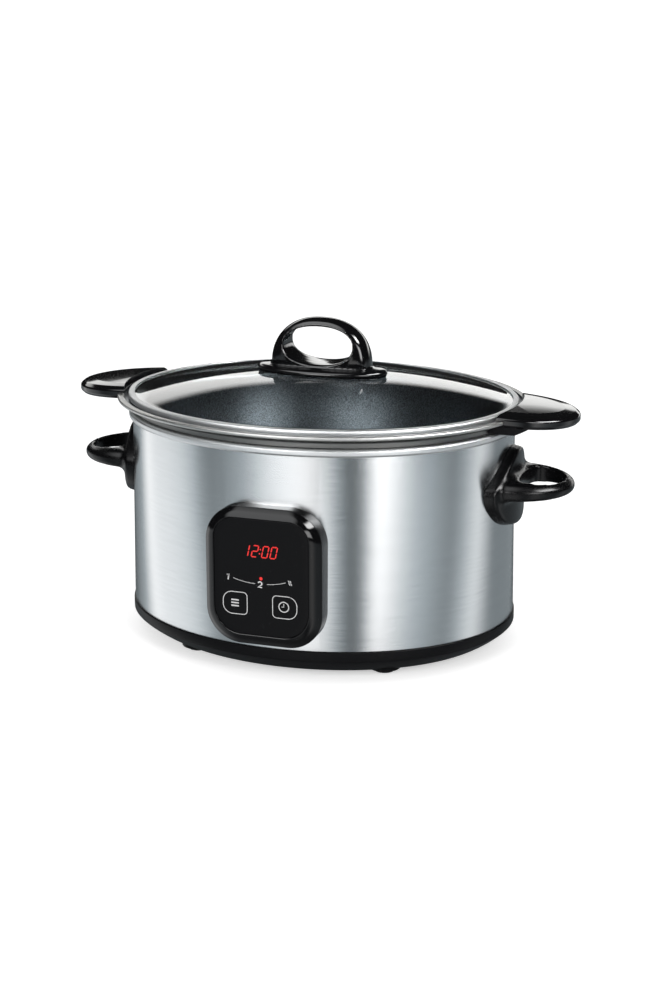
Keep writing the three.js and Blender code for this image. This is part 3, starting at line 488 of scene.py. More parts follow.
@finish("dark_silicone")
def dark_silicone(g):
    """Soft seal under the lid's handle and behind the keys."""
    grained(g, g.speckle(400.0), rgba((0.012, 0.012, 0.013)), rgba((0.020, 0.020, 0.022)), 0.45, 0.12)


@finish("clear_glass")
def clear_glass(g):
    """Tempered glass that lets shadow rays and mirrored rays pass."""
    pane = g.node("ShaderNodeBsdfPrincipled", values={
        "Base Color": rgba((0.97, 0.985, 0.98)), "Roughness": 0.0, "IOR": 1.5, "Transmission Weight": 1.0,
        "Normal": g.bump(g.speckle(14.0, 1.0), 0.01, 0.0004)})
    clear = g.node("ShaderNodeBsdfTransparent", values={"Color": rgba((0.90, 0.92, 0.92))})
    passing = (g.ray("Is Shadow Ray") + (g.ray("Glossy Depth") > 0.5)) > 0.5
    g.surface(g.mix_shader(passing, pane, clear))


@finish("mica_sheet")
def mica_sheet(g):
    """Layered mica of the heater band."""
    grained(g, g.speckle(180.0, 4.0), rgba((0.30, 0.27, 0.20)), rgba((0.52, 0.48, 0.38)), 0.5, 0.2)


@finish("circuit_board")
def circuit_board(g):
    """Green lacquered board with a faint weave."""
    grained(g, g.speckle(1100.0), rgba((0.012, 0.075, 0.028)), rgba((0.022, 0.12, 0.045)), 0.35, 0.1)


@finish("dark_component")
def dark_component(g):
    """Moulded housings of the electrical parts."""
    grained(g, g.speckle(700.0), rgba((0.012, 0.013, 0.015)), rgba((0.022, 0.023, 0.026)), 0.42, 0.12)


@finish("glowing_panel_print")
def glowing_panel_print(g):
    """Grey screen printing on the facia, with a faint painted glow: the marks give off light of their own
    colour.
    """
    printing = colours().printing
    g.principled({
        "Base Color": g.mix(g.speckle(2200.0), rgba(printing, 0.9), rgba(printing, 1.1)),
        # painted glow: the print gives off a little light of its own colour, though it is no lamp
        "Roughness": 0.45, "Emission Color": rgba(printing), "Emission Strength": 0.12})


@finish("display_red")
def display_red(g):
    """Lit segments of the display."""
    display = colours().display
    g.principled({
        "Base Color": rgba(display, 0.4), "Roughness": 0.4,
        "Emission Color": g.mix(g.speckle(500.0, 1.0), rgba(display, 0.85), rgba(display)),
        "Emission Strength": 0.63})


# ------------------------------------------------------------------ meshes


SATIN_BLACK = ("satin_black_plastic",)  # finish of the base, of the clamps and of forms that only cut


def linked(name, data):
    """An object of this name in the scene."""
    made = bpy.data.objects.new(name, data)
    bpy.context.scene.collection.objects.link(made)
    return made


def new_object(name, points, faces, materials, indices=None):
    """A smooth-shaded object from points in millimetres."""
    mesh = bpy.data.meshes.new(name)
    mesh.from_pydata([tuple(c * MM for c in p) for p in points], [], faces)
    for material in materials:
        mesh.materials.append(FINISHES[material]())
    if indices:
        mesh.polygons.foreach_set("material_index", indices)
    tidy = bmesh.new()
    tidy.from_mesh(mesh)
    bmesh.ops.remove_doubles(tidy, verts=tidy.verts, dist=1e-7)
    bmesh.ops.recalc_face_normals(tidy, faces=tidy.faces)
    tidy.to_mesh(mesh)
    tidy.free()
    soften(mesh)
    return linked(name, mesh)


def soften(mesh):
    """Shades a mesh smooth but for its sharp edges."""
    mesh.polygons.foreach_set("use_smooth", [True] * len(mesh.polygons))
    mesh.set_sharp_from_angle(angle=math.radians(SHARP_EDGE))
    mesh.update()


def loft(name, rings, materials=SATIN_BLACK, closed=False, zones=None):
    """Skins rings of as many points each. zones gives each stretch between rings its material's number."""
    count = len(rings[0])
    points = [p for ring in rings for p in ring]
    zones = zones or [0] * (len(rings) if closed else len(rings) - 1)
    faces, indices = [], []
    for i, zone in enumerate(zones):
        here, there = i * count, ((i + 1) % len(rings)) * count
        for j in range(count):
            k = (j + 1) % count
            faces.append((here + j, here + k, there + k, there + j))
            indices.append(zone)
    if not closed:
        for end, zone in ((0, zones[0]), (len(rings) - 1, zones[-1])):
            points.append(tuple(sum(p[axis] for p in rings[end]) / count for axis in range(3)))
            for j in range(count):
                faces.append((end * count + j, end * count + (j + 1) % count, len(points) - 1))
                indices.append(zone)
    return new_object(name, points, faces, materials, indices)


def ellipse(half_length, half_width, sides, centre=(0, 0)):
    """Points round an ellipse."""
    turns = [math.tau * i / sides for i in range(sides)]
    return [(centre[0] + half_length * math.cos(t), centre[1] + half_width * math.sin(t)) for t in turns]


def ellipse_ring(half_length, half_width, z, sides=SIDES):
    """A level ellipse."""
    return [(x, y, z) for x, y in ellipse(half_length, half_width, sides)]


def oval_ring(grow, z):
    """The housing's oval at its foot, grown by an amount."""
    return ellipse_ring(HALF_LENGTH + grow, HALF_WIDTH + grow, z)


def oval_solid(name, profile, materials=SATIN_BLACK, **more):
    """A surface that follows a profile of (grow, z) pairs round the housing's oval."""
    return loft(name, [oval_ring(grow, z) for grow, z in profile], materials, **more)


def filleted(corners, closed=False, steps=5):
    """A profile through corners of (across, up, radius), each rounded by its radius."""
    points = []
    for i, (across, up, radius) in enumerate(corners):
        if radius == 0 or (not closed and i in (0, len(corners) - 1)):
            points.append((across, up))
            continue
        here = Vector((across, up))
        before = Vector(corners[i - 1][:2]) - here
        after = Vector(corners[(i + 1) % len(corners)][:2]) - here
        half = before.angle(after) / 2
        reach = min(radius / math.tan(half), 0.49 * before.length, 0.49 * after.length)
        start, end = here + before.normalized() * reach, here + after.normalized() * reach
        swing = math.pi - 2 * half
        centre = here + (before.normalized() + after.normalized()).normalized() * (reach / math.cos(half))
        first, last = start - centre, end - centre
        for step in range(steps + 1):
            t = step / steps
            arm = (first * math.sin((1 - t) * swing) + last * math.sin(t * swing)) / math.sin(swing)
            points.append(tuple(centre + arm))
    return points


def flatten(obj):
    """Applies an object's modifiers to its mesh."""
    graph = bpy.context.evaluated_depsgraph_get()
    mesh = bpy.data.meshes.new_from_object(obj.evaluated_get(graph))
    obj.modifiers.clear()
    old = obj.data
    obj.data = mesh
    mesh.name = old.name
    bpy.data.meshes.remove(old)


def combine(obj, tools, operation="DIFFERENCE"):
    """Cuts an object with others, or joins or meets it with them. They are used up."""
    for tool in tools:
        step = obj.modifiers.new(operation.lower(), "BOOLEAN")
        step.operation = operation
        step.solver = "EXACT"
        step.object = tool
        flatten(obj)
        bpy.data.objects.remove(tool)
    soften(obj.data)


def prism(name, outline, low, high, axis="z", materials=SATIN_BLACK):
    """An outline of (across, up) pairs pulled between two distances along X, -Y or Z."""
    turn = {
        "x": lambda a, b, d: (d, a, b),
        "front": lambda a, b, d: (a, -d, b),
        "z": lambda a, b, d: (a, b, d),
    }[axis]
    return loft(name, [[turn(a, b, d) for a, b in outline] for d in (low, high)], materials)


AXIS = 0.01  # the least radius of a turned profile, which its caps close


def turned(name, profile, centre=(0, 0), materials=SATIN_BLACK, sides=48):
    """A solid turned about an upright axis from (radius, z) pairs."""
    rings = [[(x, y, z) for x, y in ellipse(r, r, sides, centre)] for r, z in profile]
    return loft(name, rings, materials)


def peg(name, radius, low, high, centre):
    """An upright cylinder."""
    return turned(name, [(AXIS, low), (radius, low), (radius, high), (AXIS, high)], centre)


def rounded_outline(half_width, half_height, corners, steps=16, centre=(0, 0)):
    """A rounded rectangle: corners is one radius, or four from the upper right round to the lower right."""
    radii = corners if isinstance(corners, tuple) else (corners,) * 4
    points = []
    for quarter, ((sx, sy), r) in enumerate(zip([(1, 1), (-1, 1), (-1, -1), (1, -1)], radii)):
        for i in range(steps + 1):
            angle = math.pi / 2 * (quarter + i / steps)
            points.append((sx * (half_width - r) + r * math.cos(angle) + centre[0],
                           sy * (half_height - r) + r * math.sin(angle) + centre[1]))
    return points


def signed_power(t, power):
    """A power that keeps its base's sign, which squares or sharpens a round."""
    return math.copysign(abs(t) ** power, t)


def settle(obj, body, slot, *nodes):
    """Seats a finished piece on its body and lets it stand for its CAD nodes."""
    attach(obj, body)
    if nodes:
        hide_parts(*nodes)


def mirrored(obj, name):
    """A mirror image of a right-hand piece for the left."""
    mesh = obj.data.copy()
    mesh.name = name
    for vertex in mesh.vertices:
        vertex.co.x = -vertex.co.x
    mesh.flip_normals()
    return linked(name, mesh)


def turned_round(obj, name):
    """The same piece turned half round about the upright axis, for the left."""
    mesh = obj.data.copy()
    mesh.name = name
    for vertex in mesh.vertices:
        vertex.co.x, vertex.co.y = -vertex.co.x, -vertex.co.y
    return linked(name, mesh)


# ------------------------------------------------------------------ levels shared by the pieces


ABOVE = 400  # a height above every piece, where a cutting form may end
BELOW_LID = 100  # a height below the lid, where one may start
INNERMOST = 1 - HALF_WIDTH  # how far in the floor of an oval solid goes before its cap
WRAP_SHEET = 0.8
WELL_INSET = 7  # from the top of the wrap in to the well's wall
FLANGE_SHEET = 3.2
COLLAR_INSET = 0.8  # from the top of the wrap in to the pot's collar
COLLAR_RISE = 4.4
COLLAR_FLARE = 4.3  # from the collar out to the underside of the flange
FLANGE_DIP = 2.2  # of the flare below that underside
POT_SHOULDER = WELL_HIGH[2] + GAP


def wrap_grow(z):
    """How far the housing's outside stands from its foot's oval at a height."""
    return -(sizes().taper / MM) * (z - WRAP_LOW[2]) / (WRAP_HIGH[2] - WRAP_LOW[2])


def top_grow():
    """How far the wrap's upper edge stands from its foot's oval."""
    return wrap_grow(WRAP_HIGH[2])


def oval_x(y, grow):
    """X of the point at y on the housing's oval grown by an amount."""
    return (HALF_LENGTH + grow) * math.sqrt(max(0.0, 1 - (y / (HALF_WIDTH + grow)) ** 2))


def tongue_ring(root, reach, half_width, along, across, shrink, height, count=120):
    """A ring of a tongue that points along +X, shaped by powers along and across. Its height follows X."""
    ring = []
    for i in range(count):
        angle = -math.pi / 2 + math.pi * i / (count - 1)
        x = root + (reach - shrink - root) * signed_power(math.cos(angle), along)
        ring.append((x, (half_width - shrink) * signed_power(math.sin(angle), across), height(x)))
    return ring


def wrap_block(name):
    """A tall oval block that stands a gap proud of the housing's outside."""
    return loft(name, [oval_ring(wrap_grow(z) + GAP, z) for z in (0.0, WRAP_HIGH[2] + 100)])


# ------------------------------------------------------------------ housing


WINDOW_MARGIN = 9  # of the wrap's window inside the bezel's outline


def build_wrap():
    """The steel wrap with its turned lower edge and the panel's window."""
    top, bottom = WRAP_HIGH[2], WRAP_LOW[2]
    wrap = oval_solid("housing_wrap", filleted([
        (-WRAP_SHEET, bottom, 0), (-0.15, bottom, 0.15), (0, bottom + 0.3, 0), (top_grow(), top, 0),
        (top_grow() - WRAP_SHEET, top, 0), (-WRAP_SHEET, bottom + 0.4, 0)]),
        ["brushed_housing_steel"], closed=True)
    bezel_reach, bezel_rise = (BEZEL_HIGH[0] - BEZEL_LOW[0]) / 2, (BEZEL_HIGH[2] - BEZEL_LOW[2]) / 2
    window = rounded_outline(
        bezel_reach - WINDOW_MARGIN, bezel_rise - WINDOW_MARGIN, sizes().panel_corner / MM - WINDOW_MARGIN,
        centre=(0, middle_mm("panel_bezel")[2]))
    combine(wrap, [prism("window_tool", window, HALF_WIDTH / 2, -BEZEL_LOW[1], "front")])
    settle(wrap, "housing", "housing_steel", "outer_wrap")


def build_well():
    """The heated well and the rolled bead that laps over the wrap."""
    top, floor = WELL_HIGH[2], WELL_LOW[2]
    sheet = 1.2
    wall = top_grow() - WELL_INSET
    deep = wall - 3.4
    bead = top_grow() + 3.4
    hug = top_grow() + GAP + 0.1
    bead_foot = top - 6.4
    well = oval_solid("heated_well", filleted([
        (INNERMOST, floor, 0), (deep + sheet, floor, 18), (wall + sheet, top - sheet, 0.6),
        (hug, top - sheet, 0.6), (hug, bead_foot, 0.3), (bead - 1.2, bead_foot, 0.9), (bead, top - 4.6, 1.6),
        (bead, top - 1.6, 1.6), (bead - 1.4, top, 1.2), (wall, top, 1.2), (deep, floor + sheet, 17),
        (INNERMOST, floor + sheet, 0)], steps=8), ["polished_steel"])
    settle(well, "housing", "polished_steel", "heating_well")


SKIRT_TOP = WRAP_LOW[2] - GAP
SKIRT_BOTTOM = BASE_LOW[2] + 2.4
SKIRT_INSET = 20.0  # of the bottom's edge from the housing's oval
KNEE = SKIRT_BOTTOM + 14.8
TRAY_FLOOR = SKIRT_BOTTOM + 2.8
TRAY_WALL = 2.4
FOOT_BOSS = 14.0
BACK = -(HALF_WIDTH + GAP)  # distance along -Y of the flat that the cord leaves from


def skirt_curve(knee_grow, low_grow, low_z, steps=14):
    """The tray's curve from the knee of its side in to the bottom, as corners without a radius."""
    curve = []
    for i in range(steps + 1):
        angle = math.pi / 2 * i / steps
        inwards, down = 1 - math.cos(angle) ** 1.74, math.sin(angle) ** 1.74
        curve.append((knee_grow + (low_grow - knee_grow) * inwards, KNEE + (low_z - KNEE) * down, 0))
    return curve


def base_corner(side, end):
    """What a corner of the tray gains and loses for its foot and its screw: bosses and recesses."""
    low, high = box_mm(f"foot_pad_{end}_{side}")
    foot, screw = middle_mm(f"foot_pad_{end}_{side}"), middle_mm(f"base_screw_{end}_{side}")
    bottom = BASE_LOW[2]
    boss = turned("foot_boss", filleted([
        (AXIS, bottom, 0), (FOOT_BOSS, bottom, 1.5), (FOOT_BOSS, TRAY_FLOOR - GAP, 0),
        (AXIS, TRAY_FLOOR - GAP, 0)]), foot)
    recess = peg("foot_recess", (high[0] - low[0]) / 2 + GAP, bottom - 3, high[2] + GAP, foot)
    screw_boss = peg("screw_boss", 7, TRAY_FLOOR - 1, TRAY_FLOOR + 7, screw)
    seat = SKIRT_BOTTOM + 4
    screw_recess = turned("screw_recess", [
        (AXIS, bottom - 3), (4.6, bottom - 3), (4.6, SKIRT_BOTTOM - 0.01), (4.3, SKIRT_BOTTOM + 0.4),
        (4.3, seat), (2.3, seat), (2.3, TRAY_FLOOR + 9), (AXIS, TRAY_FLOOR + 9)], screw)
    return [boss, screw_boss], [recess, screw_recess]


def build_base():
    """The base tray with its curved skirt, bosses, vent slots and the flat for the cord's gland."""
    proud, high = 1.0, BASE_HIGH[2]
    hold = -WRAP_SHEET - GAP
    base = oval_solid("base_tray_shell", filleted([
        (INNERMOST, SKIRT_BOTTOM, 0), *reversed(skirt_curve(proud, -SKIRT_INSET, SKIRT_BOTTOM)),
        (proud, SKIRT_TOP, 0.5), (hold, SKIRT_TOP, 0), (hold - 0.1, high, 0.4), (hold - TRAY_WALL, high, 0.4),
        *skirt_curve(hold - TRAY_WALL, -SKIRT_INSET - TRAY_WALL, TRAY_FLOOR), (INNERMOST, TRAY_FLOOR, 0)],
        steps=6))
    gland_z = middle_mm("cord_gland")[2]
    pad_foot = gland_z - 11
    pad = rounded_outline(13, (SKIRT_TOP - 0.2 - pad_foot) / 2, 2.5, 6, (0, (pad_foot + SKIRT_TOP) / 2))
    extras, cuts = [prism("gland_pad", pad, BACK, BACK + 18, "front")], []
    for side in HANDS:
        for end in ENDS:
            bosses, recesses = base_corner(side, end)
            extras += bosses
            cuts += recesses
    for row in (-1, 1):
        for i in range(5):
            slot = rounded_outline(1.8, 17, 1.79, 6, ((i - 2) * 11, row * 62))
            cuts.append(prism("vent_slot", slot, SKIRT_BOTTOM - 2, TRAY_FLOOR + 2))
    cuts.append(prism("gland_hole", ellipse(7.3, 7.3, 40, (0, gland_z)), BACK - 20, BACK + 30, "front"))
    flat = rounded_outline(13, 80, 0.5, 2, (0, 60))
    cuts.append(prism("gland_flat", flat, BACK - 30, BACK, "front"))
    combine(base, extras, "UNION")
    combine(base, cuts)
    settle(base, "housing", "base_plastic", "base_tray")


def build_feet():
    """The rubber feet, each with a shallow hollow in its sole."""
    for end in ENDS:
        for side in HANDS:
            node = f"foot_pad_{end}_{side}"
            low, high = box_mm(node)
            r, top = (high[0] - low[0]) / 2, high[2]
            profile = filleted([(AXIS, 0.5, 0), (r - 4.2, 0.5, 0.2), (r - 3.8, 0, 0.2), (r, 0, 1.2),
                                (r, top, 0.3), (AXIS, top, 0)])
            foot = turned(f"foot_{end}_{side}", profile, middle_mm(node), ["black_rubber"], 72)
            settle(foot, "housing", "foot_rubber", node)


def build_gland():
    """The ribbed rubber gland that the cord would leave by."""
    low, high = box_mm("cord_gland")
    face = HALF_WIDTH + GAP
    bore, neck, lip = 4.2, 7.0, 9.0
    profile = filleted([
        (bore, low[1], 0), (neck, low[1], 0.8), (neck, face + GAP, 0.3), (lip, face + GAP, 0.4),
        (lip, face + GAP + 2, 0.8), (neck, face + GAP + 2, 0.4), (neck, face + 4.4, 0.3),
        (7.8, face + 4.6, 0.3), (7.8, face + 6.2, 0.4), (6.9, face + 6.4, 0.3), (6.9, face + 7.8, 0.3),
        (7.6, face + 8.0, 0.3), (7.6, face + 9.6, 0.4), (6.7, face + 9.8, 0.3), (6.4, high[1], 1.2),
        (bore, high[1], 0.8)])
    middle = (0, middle_mm("cord_gland")[2])
    gland = loft("cord_exit_gland", [[(x, y, z) for x, z in ellipse(r, r, 64, middle)] for r, y in profile],
                 ["black_rubber"], closed=True)
    settle(gland, "housing", "foot_rubber", "cord_gland")


# ------------------------------------------------------------------ screws


SHANK = 2  # radius


def screw(name, node, body, slot, head_radius, head_height):
    """A pan-head screw with a cross recess, head down and shank up."""
    low, high = box_mm(node)
    length = high[2] - low[2] - head_height
    made = turned(name, filleted([
        (AXIS, -head_height, 0), (head_radius * 0.72, -head_height, head_height * 0.5),
        (head_radius, -head_height * 0.45, head_height * 0.25), (head_radius, 0, 0.15), (SHANK, 0, 0.2),
        (SHANK, length - SHANK * 0.6, 0), (AXIS, length, 0)]), materials=["plated_steel"], sides=40)
    bar, slit = head_radius * 0.62, head_radius * 0.15
    combine(made, [prism("recess", rounded_outline(w, h, 0.2, 2), -head_height - 1, -head_height * 0.5)
                   for w, h in ((bar, slit), (slit, bar))])
    x, y, _ = middle_mm(node)
    seat = Vector((x, y, low[2] + head_height)) * MM
    for vertex in made.data.vertices:
        vertex.co += seat
    settle(made, body, slot, node)


def build_screws():
    """The screws that can be seen, from above or from below."""
    for side in HANDS:
        for end in ENDS:
            screw(f"base_tie_{end}_{side}", f"base_screw_{end}_{side}", "housing", "plated_steel", 4, 2.6)
            screw(f"grip_tie_{side}_{end}", f"grip_screw_{side}_{end}", "pot", "plated_steel", 3.4, 2.4)
        screw(f"lid_tie_{side}", f"lid_screw_{side}", "lid", "polished_steel", 4, 2.4)


# ------------------------------------------------------------------ control panel


FACIA_CORNERS = (17.0, 17.0, 23.0, 23.0)  # from the upper right round to the lower right
PRINT_PROUD = 0.04


def panel_ring(inwards, out):
    """A ring of the panel at a distance in from its outer outline, which blends into the facia's outline."""
    bevel = sizes().panel_bevel / MM
    blend = min(1.0, inwards / bevel)
    beyond = max(0.0, inwards - bevel)
    outer = rounded_outline(
        BEZEL_HIGH[0], (BEZEL_HIGH[2] - BEZEL_LOW[2]) / 2, sizes().panel_corner / MM, 20)
    inner = rounded_outline(
        BEZEL_HIGH[0] - bevel - beyond, (FACIA_HIGH[2] - FACIA_LOW[2]) / 2 + GAP - beyond,
        tuple(corner - beyond for corner in FACIA_CORNERS), 20)
    outer_z, inner_z = middle_mm("panel_bezel")[2], middle_mm("panel_facia")[2]
    return [(a + (c - a) * blend, -out, (b + outer_z) * (1 - blend) + (d + inner_z) * blend)
            for (a, b), (c, d) in zip(outer, inner)]


def build_panel():
    """The bezel with its sloping edge, the facia and what is printed on it."""
    front = -BEZEL_LOW[1]
    shoulder = front - 7
    bevel = sizes().panel_bevel / MM
    facia_front = -FACIA_LOW[1]
    facia_back = facia_front - 2
    ledge = facia_back - GAP
    lip, wall = bevel + 3.2, 4.6
    bezel = loft("panel_surround", [panel_ring(inwards, out) for inwards, out in filleted([
        (0, HALF_WIDTH * 0.8, 0), (0, shoulder + 0.5, 1.5), (bevel * 0.5, shoulder + 4.9, 14),
        (bevel - 0.7, front, 1.1), (bevel, front - 0.25, 0.2), (bevel, ledge, 0), (lip, ledge, 0.4),
        (lip, ledge - 2, 0.4), (wall, shoulder - 3, 0.5), (wall, HALF_WIDTH * 0.8, 0)], steps=7)],
        ["panel_surround_plastic"], closed=True)
    combine(bezel, [wrap_block("bezel_tool")])
    settle(bezel, "housing", "gloss_black", "panel_bezel")
    edge = bevel + GAP
    facia = loft("panel_glass", [panel_ring(inwards, out) for inwards, out in filleted([
        (edge, facia_back, 0), (edge, facia_front, 0.35), (edge + 6, facia_front, 0)])], ["gloss_facia"])
    settle(facia, "housing", "facia_black", "panel_facia")
    plates("display_digits", display_figures(), facia_front, "display_red")
    plates("panel_marks", [*scale_marks(), *key_marks()], facia_front, "glowing_panel_print")


def plates(name, outlines, out, material):
    """Thin flat marks from closed outlines of (x, z) pairs, standing on the facia."""
    points, faces = [], []
    for outline in outlines:
        start, count = len(points), len(outline)
        points += [(x, -out, z) for x, z in outline] + [(x, -out - PRINT_PROUD, z) for x, z in outline]
        faces.append(tuple(range(start, start + count)))
        faces.append(tuple(reversed(range(start + count, start + 2 * count))))
        faces += [(start + i, start + (i + 1) % count, start + count + (i + 1) % count, start + count + i)
                  for i in range(count)]
    settle(new_object(name, points, faces, [material]), "housing", "facia_black")


def ribbon(path, width, closed=False):
    """Quads along a path, as outlines; neighbours share their ends."""
    count = len(path)
    edges = []
    for i, (x, z) in enumerate(path):
        before = path[i - 1] if (i or closed) else path[i]
        after = path[(i + 1) % count] if (i < count - 1 or closed) else path[i]
        along = Vector((after[0] - before[0], after[1] - before[1])).normalized()
        nx, nz = -along.y * width / 2, along.x * width / 2
        edges.append(((x + nx, z + nz), (x - nx, z - nz)))
    pairs = [(edges[i], edges[(i + 1) % count]) for i in range(count if closed else count - 1)]
    return [[here[0], there[0], there[1], here[1]] for here, there in pairs]


def arc(centre, radius, start, end, steps):
    """Points along an arc, from one angle in degrees to another."""
    angles = [math.radians(start + (end - start) * i / steps) for i in range(steps + 1)]
    return [(centre[0] + radius * math.cos(a), centre[1] + radius * math.sin(a)) for a in angles]


# The figures and marks are drawn at (x, z) places on the facia.
SEGMENTS = {"0": "abcdef", "1": "bc", "2": "abged"}
DIGIT_WIDTH, DIGIT_HEIGHT = 4.7, 9.5
DIGIT_FOOT = 110.3
STROKE = 0.98
SLANT = 0.22


def digit(figure, left):
    """The lit bars of a seven-segment figure, from where its lower left corner is."""
    half, gap = STROKE / 2, STROKE * 0.16
    right, top, middle = DIGIT_WIDTH, DIGIT_HEIGHT, DIGIT_HEIGHT / 2
    ends = {
        "a": ((0, top), (right, top)), "g": ((0, middle), (right, middle)), "d": ((0, 0), (right, 0)),
        "f": ((0, middle), (0, top)), "b": ((right, middle), (right, top)),
        "e": ((0, 0), (0, middle)), "c": ((right, 0), (right, middle)),
    }
    bars = []
    for name in SEGMENTS[figure]:
        start, end = (Vector(point) for point in ends[name])
        along = (end - start).normalized()
        side = Vector((-along.y, along.x)) * half
        start, end = start + along * gap, end - along * gap
        bar = [start, start + along * half + side, end - along * half + side, end,
               end - along * half - side, start + along * half - side]
        bars.append([(left + p.x + SLANT * p.y, DIGIT_FOOT + p.y) for p in bar])
    return bars


def display_figures():
    """A time of 12:00 and the dot below it."""
    marks = []
    for figure, left in (("1", -11.4 - DIGIT_WIDTH), ("2", -8.3), ("0", 0.5), ("0", 7.7)):
        marks += digit(figure, left)
    for up in (0.31, 0.69):
        middle = (-1.7 + SLANT * up * DIGIT_HEIGHT, DIGIT_FOOT + up * DIGIT_HEIGHT)
        marks.append(ellipse(0.6, 0.6, 16, middle))
    return [*marks, ellipse(1.35, 1.35, 24, (0.0, 92.3))]


def scale_marks():
    """The scale under the display: a 1, a 2 and a steaming sign, with curved lines between them."""
    marks = ribbon([(-29.4, 92.9), (-27.6, 93.8), (-28.5, 88.9)], 1.15)
    marks += ribbon([*arc((-0.9, 88.0), 1.6, 160, -35, 12), (-2.6, 84.9), (0.9, 84.9)], 1.05)
    marks += ribbon([(x, 87.6 + (x + 4) ** 2 * 0.0080) for x in range(-24, -4)], 0.40)
    marks += ribbon([(x, 87.9 + (x - 3) ** 2 * 0.0095) for x in range(5, 22)], 0.40)
    for left in (23.2, 24.7):
        steam = [(left + 0.35 * math.sin(t * 1.3) + t * 0.34, 93.0 - t * 0.75) for t in range(6)]
        marks += ribbon(steam, 0.65)
    return marks


def key_marks():
    """The outlines of the menu key and the timer key, with their signs."""
    half_width, half_height, round_corner, tight_corner = 10.4, 9.4, 7.8, 3.4
    menu_corners = (tight_corner, round_corner, round_corner, tight_corner)
    timer_corners = (round_corner, tight_corner, tight_corner, round_corner)
    marks = []
    for corners, centre in ((menu_corners, (-22.6, 69.6)), (timer_corners, (20.2, 69.8))):
        marks += ribbon(rounded_outline(half_width, half_height, corners, 10, centre), 0.62, closed=True)
    for up in (-2.5, 0, 2.5):
        marks += ribbon([(-26.0, 69.6 + up), (-19.4, 69.6 + up)], 1.15)
    clock = (19.4, 70.2)
    marks += ribbon(ellipse(4.2, 4.2, 40, clock), 0.8, closed=True)
    return marks + ribbon([(19.4, 73.0), clock, (17.5, 70.2)], 0.55)


# ------------------------------------------------------------------ side handles


def catmull(points, per_span=10):
    """A smooth closed curve through points."""
    count = len(points)
    vectors = [Vector(p) for p in points]
    curve = []
    for i in range(count):
        p0, p1, p2, p3 = (vectors[(i + k - 1) % count] for k in range(4))
        for step in range(per_span):
            t = step / per_span
            curve.append(tuple(0.5 * (2 * p1 + (p2 - p0) * t + (2 * p0 - 5 * p1 + 4 * p2 - p3) * t * t
                                      + (3 * p1 - p0 - 3 * p2 + p3) * t ** 3)))
    return curve


SHIELD_HALF = [  # right half of the backplate's outline, as shares of its reach across and up or down
    (0, 1), (0.16, 0.985), (0.33, 0.86), (0.62, 0.51), (0.87, 0.19), (0.985, -0.03), (0.985, -0.25),
    (0.88, -0.52), (0.66, -0.79), (0.35, -0.95), (0, -1)]
SHIELD_CURVE = catmull(SHIELD_HALF + [(-a, u) for a, u in reversed(SHIELD_HALF[1:-1])])
SHIELD_WIDEST = max(a for a, _ in SHIELD_CURVE)
SHIELD_MIDDLE = 151.0  # height
LOOP_MIDDLE = 149.5  # height
LOOP_HALF_WIDTH = 43.0
LOOP_NOSE_THINNING = 0.28  # how much thinner the loop is at its outer end
HOLE_MIDDLE = 20  # beyond the housing's side
HOLE_HALF_WIDTH = 29.5
HOLE_OUTWARDS, HOLE_INWARDS = 25, 11  # its reach each way from its middle


def shield_ring(shrink, offset, scale=1.0):
    """A ring of the backplate's outline, drawn in and scaled, lying at an offset on the housing."""
    ring = []
    for a, u in SHIELD_CURVE:
        y = a / SHIELD_WIDEST * (HANDLE_HIGH[1] - shrink) * scale
        reach = HANDLE_HIGH[2] - SHIELD_MIDDLE if u > 0 else SHIELD_MIDDLE - HANDLE_LOW[2]
        z = SHIELD_MIDDLE + u * (reach - shrink) * scale
        ring.append((oval_x(y, wrap_grow(z) + offset), y, z))
    return ring


def loop_ring(shrink, up):
    """A ring of the side loop's tongue, which thins toward its nose."""
    root, reach = HALF_LENGTH - 2, HANDLE_HIGH[0]
    return tongue_ring(root, reach, LOOP_HALF_WIDTH, 0.9, 0.95, shrink, lambda x: LOOP_MIDDLE + up * (
        1 - LOOP_NOSE_THINNING * ((x - root) / (reach - root)) ** 2))


def loop_hole():
    """The finger hole of the side loop: an eye, rounder at its outer end."""
    points = []
    for c, s in ellipse(1, 1, 96):
        x, y = HOLE_OUTWARDS * c, s
        if c <= 0:
            x, y = HOLE_INWARDS * signed_power(c, 0.7), signed_power(s, 0.7)
        points.append((HALF_LENGTH + HOLE_MIDDLE + x, HOLE_HALF_WIDTH * y))
    return prism("finger_hole", points, 0, ABOVE, materials=("side_handle_plastic",))


def melt(obj, voxel, passes, fillet=0.0):
    """Runs the joints of joined forms together as a mould would, with a fillet in the hollow corners."""
    for shift in (fillet, -fillet) if fillet else ():
        remesh(obj, voxel)
        swell = obj.modifiers.new("swell", "DISPLACE")
        swell.strength = shift * MM
        swell.mid_level = 0
        flatten(obj)
    remesh(obj, voxel)
    smooth = obj.modifiers.new("smooth", "SMOOTH")
    smooth.factor = 0.5
    smooth.iterations = passes
    flatten(obj)


def remesh(obj, voxel):
    """Makes a mesh again from voxels."""
    step = obj.modifiers.new("melt", "REMESH")
    step.mode = "VOXEL"
    step.voxel_size = voxel * MM
    step.use_smooth_shade = True
    flatten(obj)


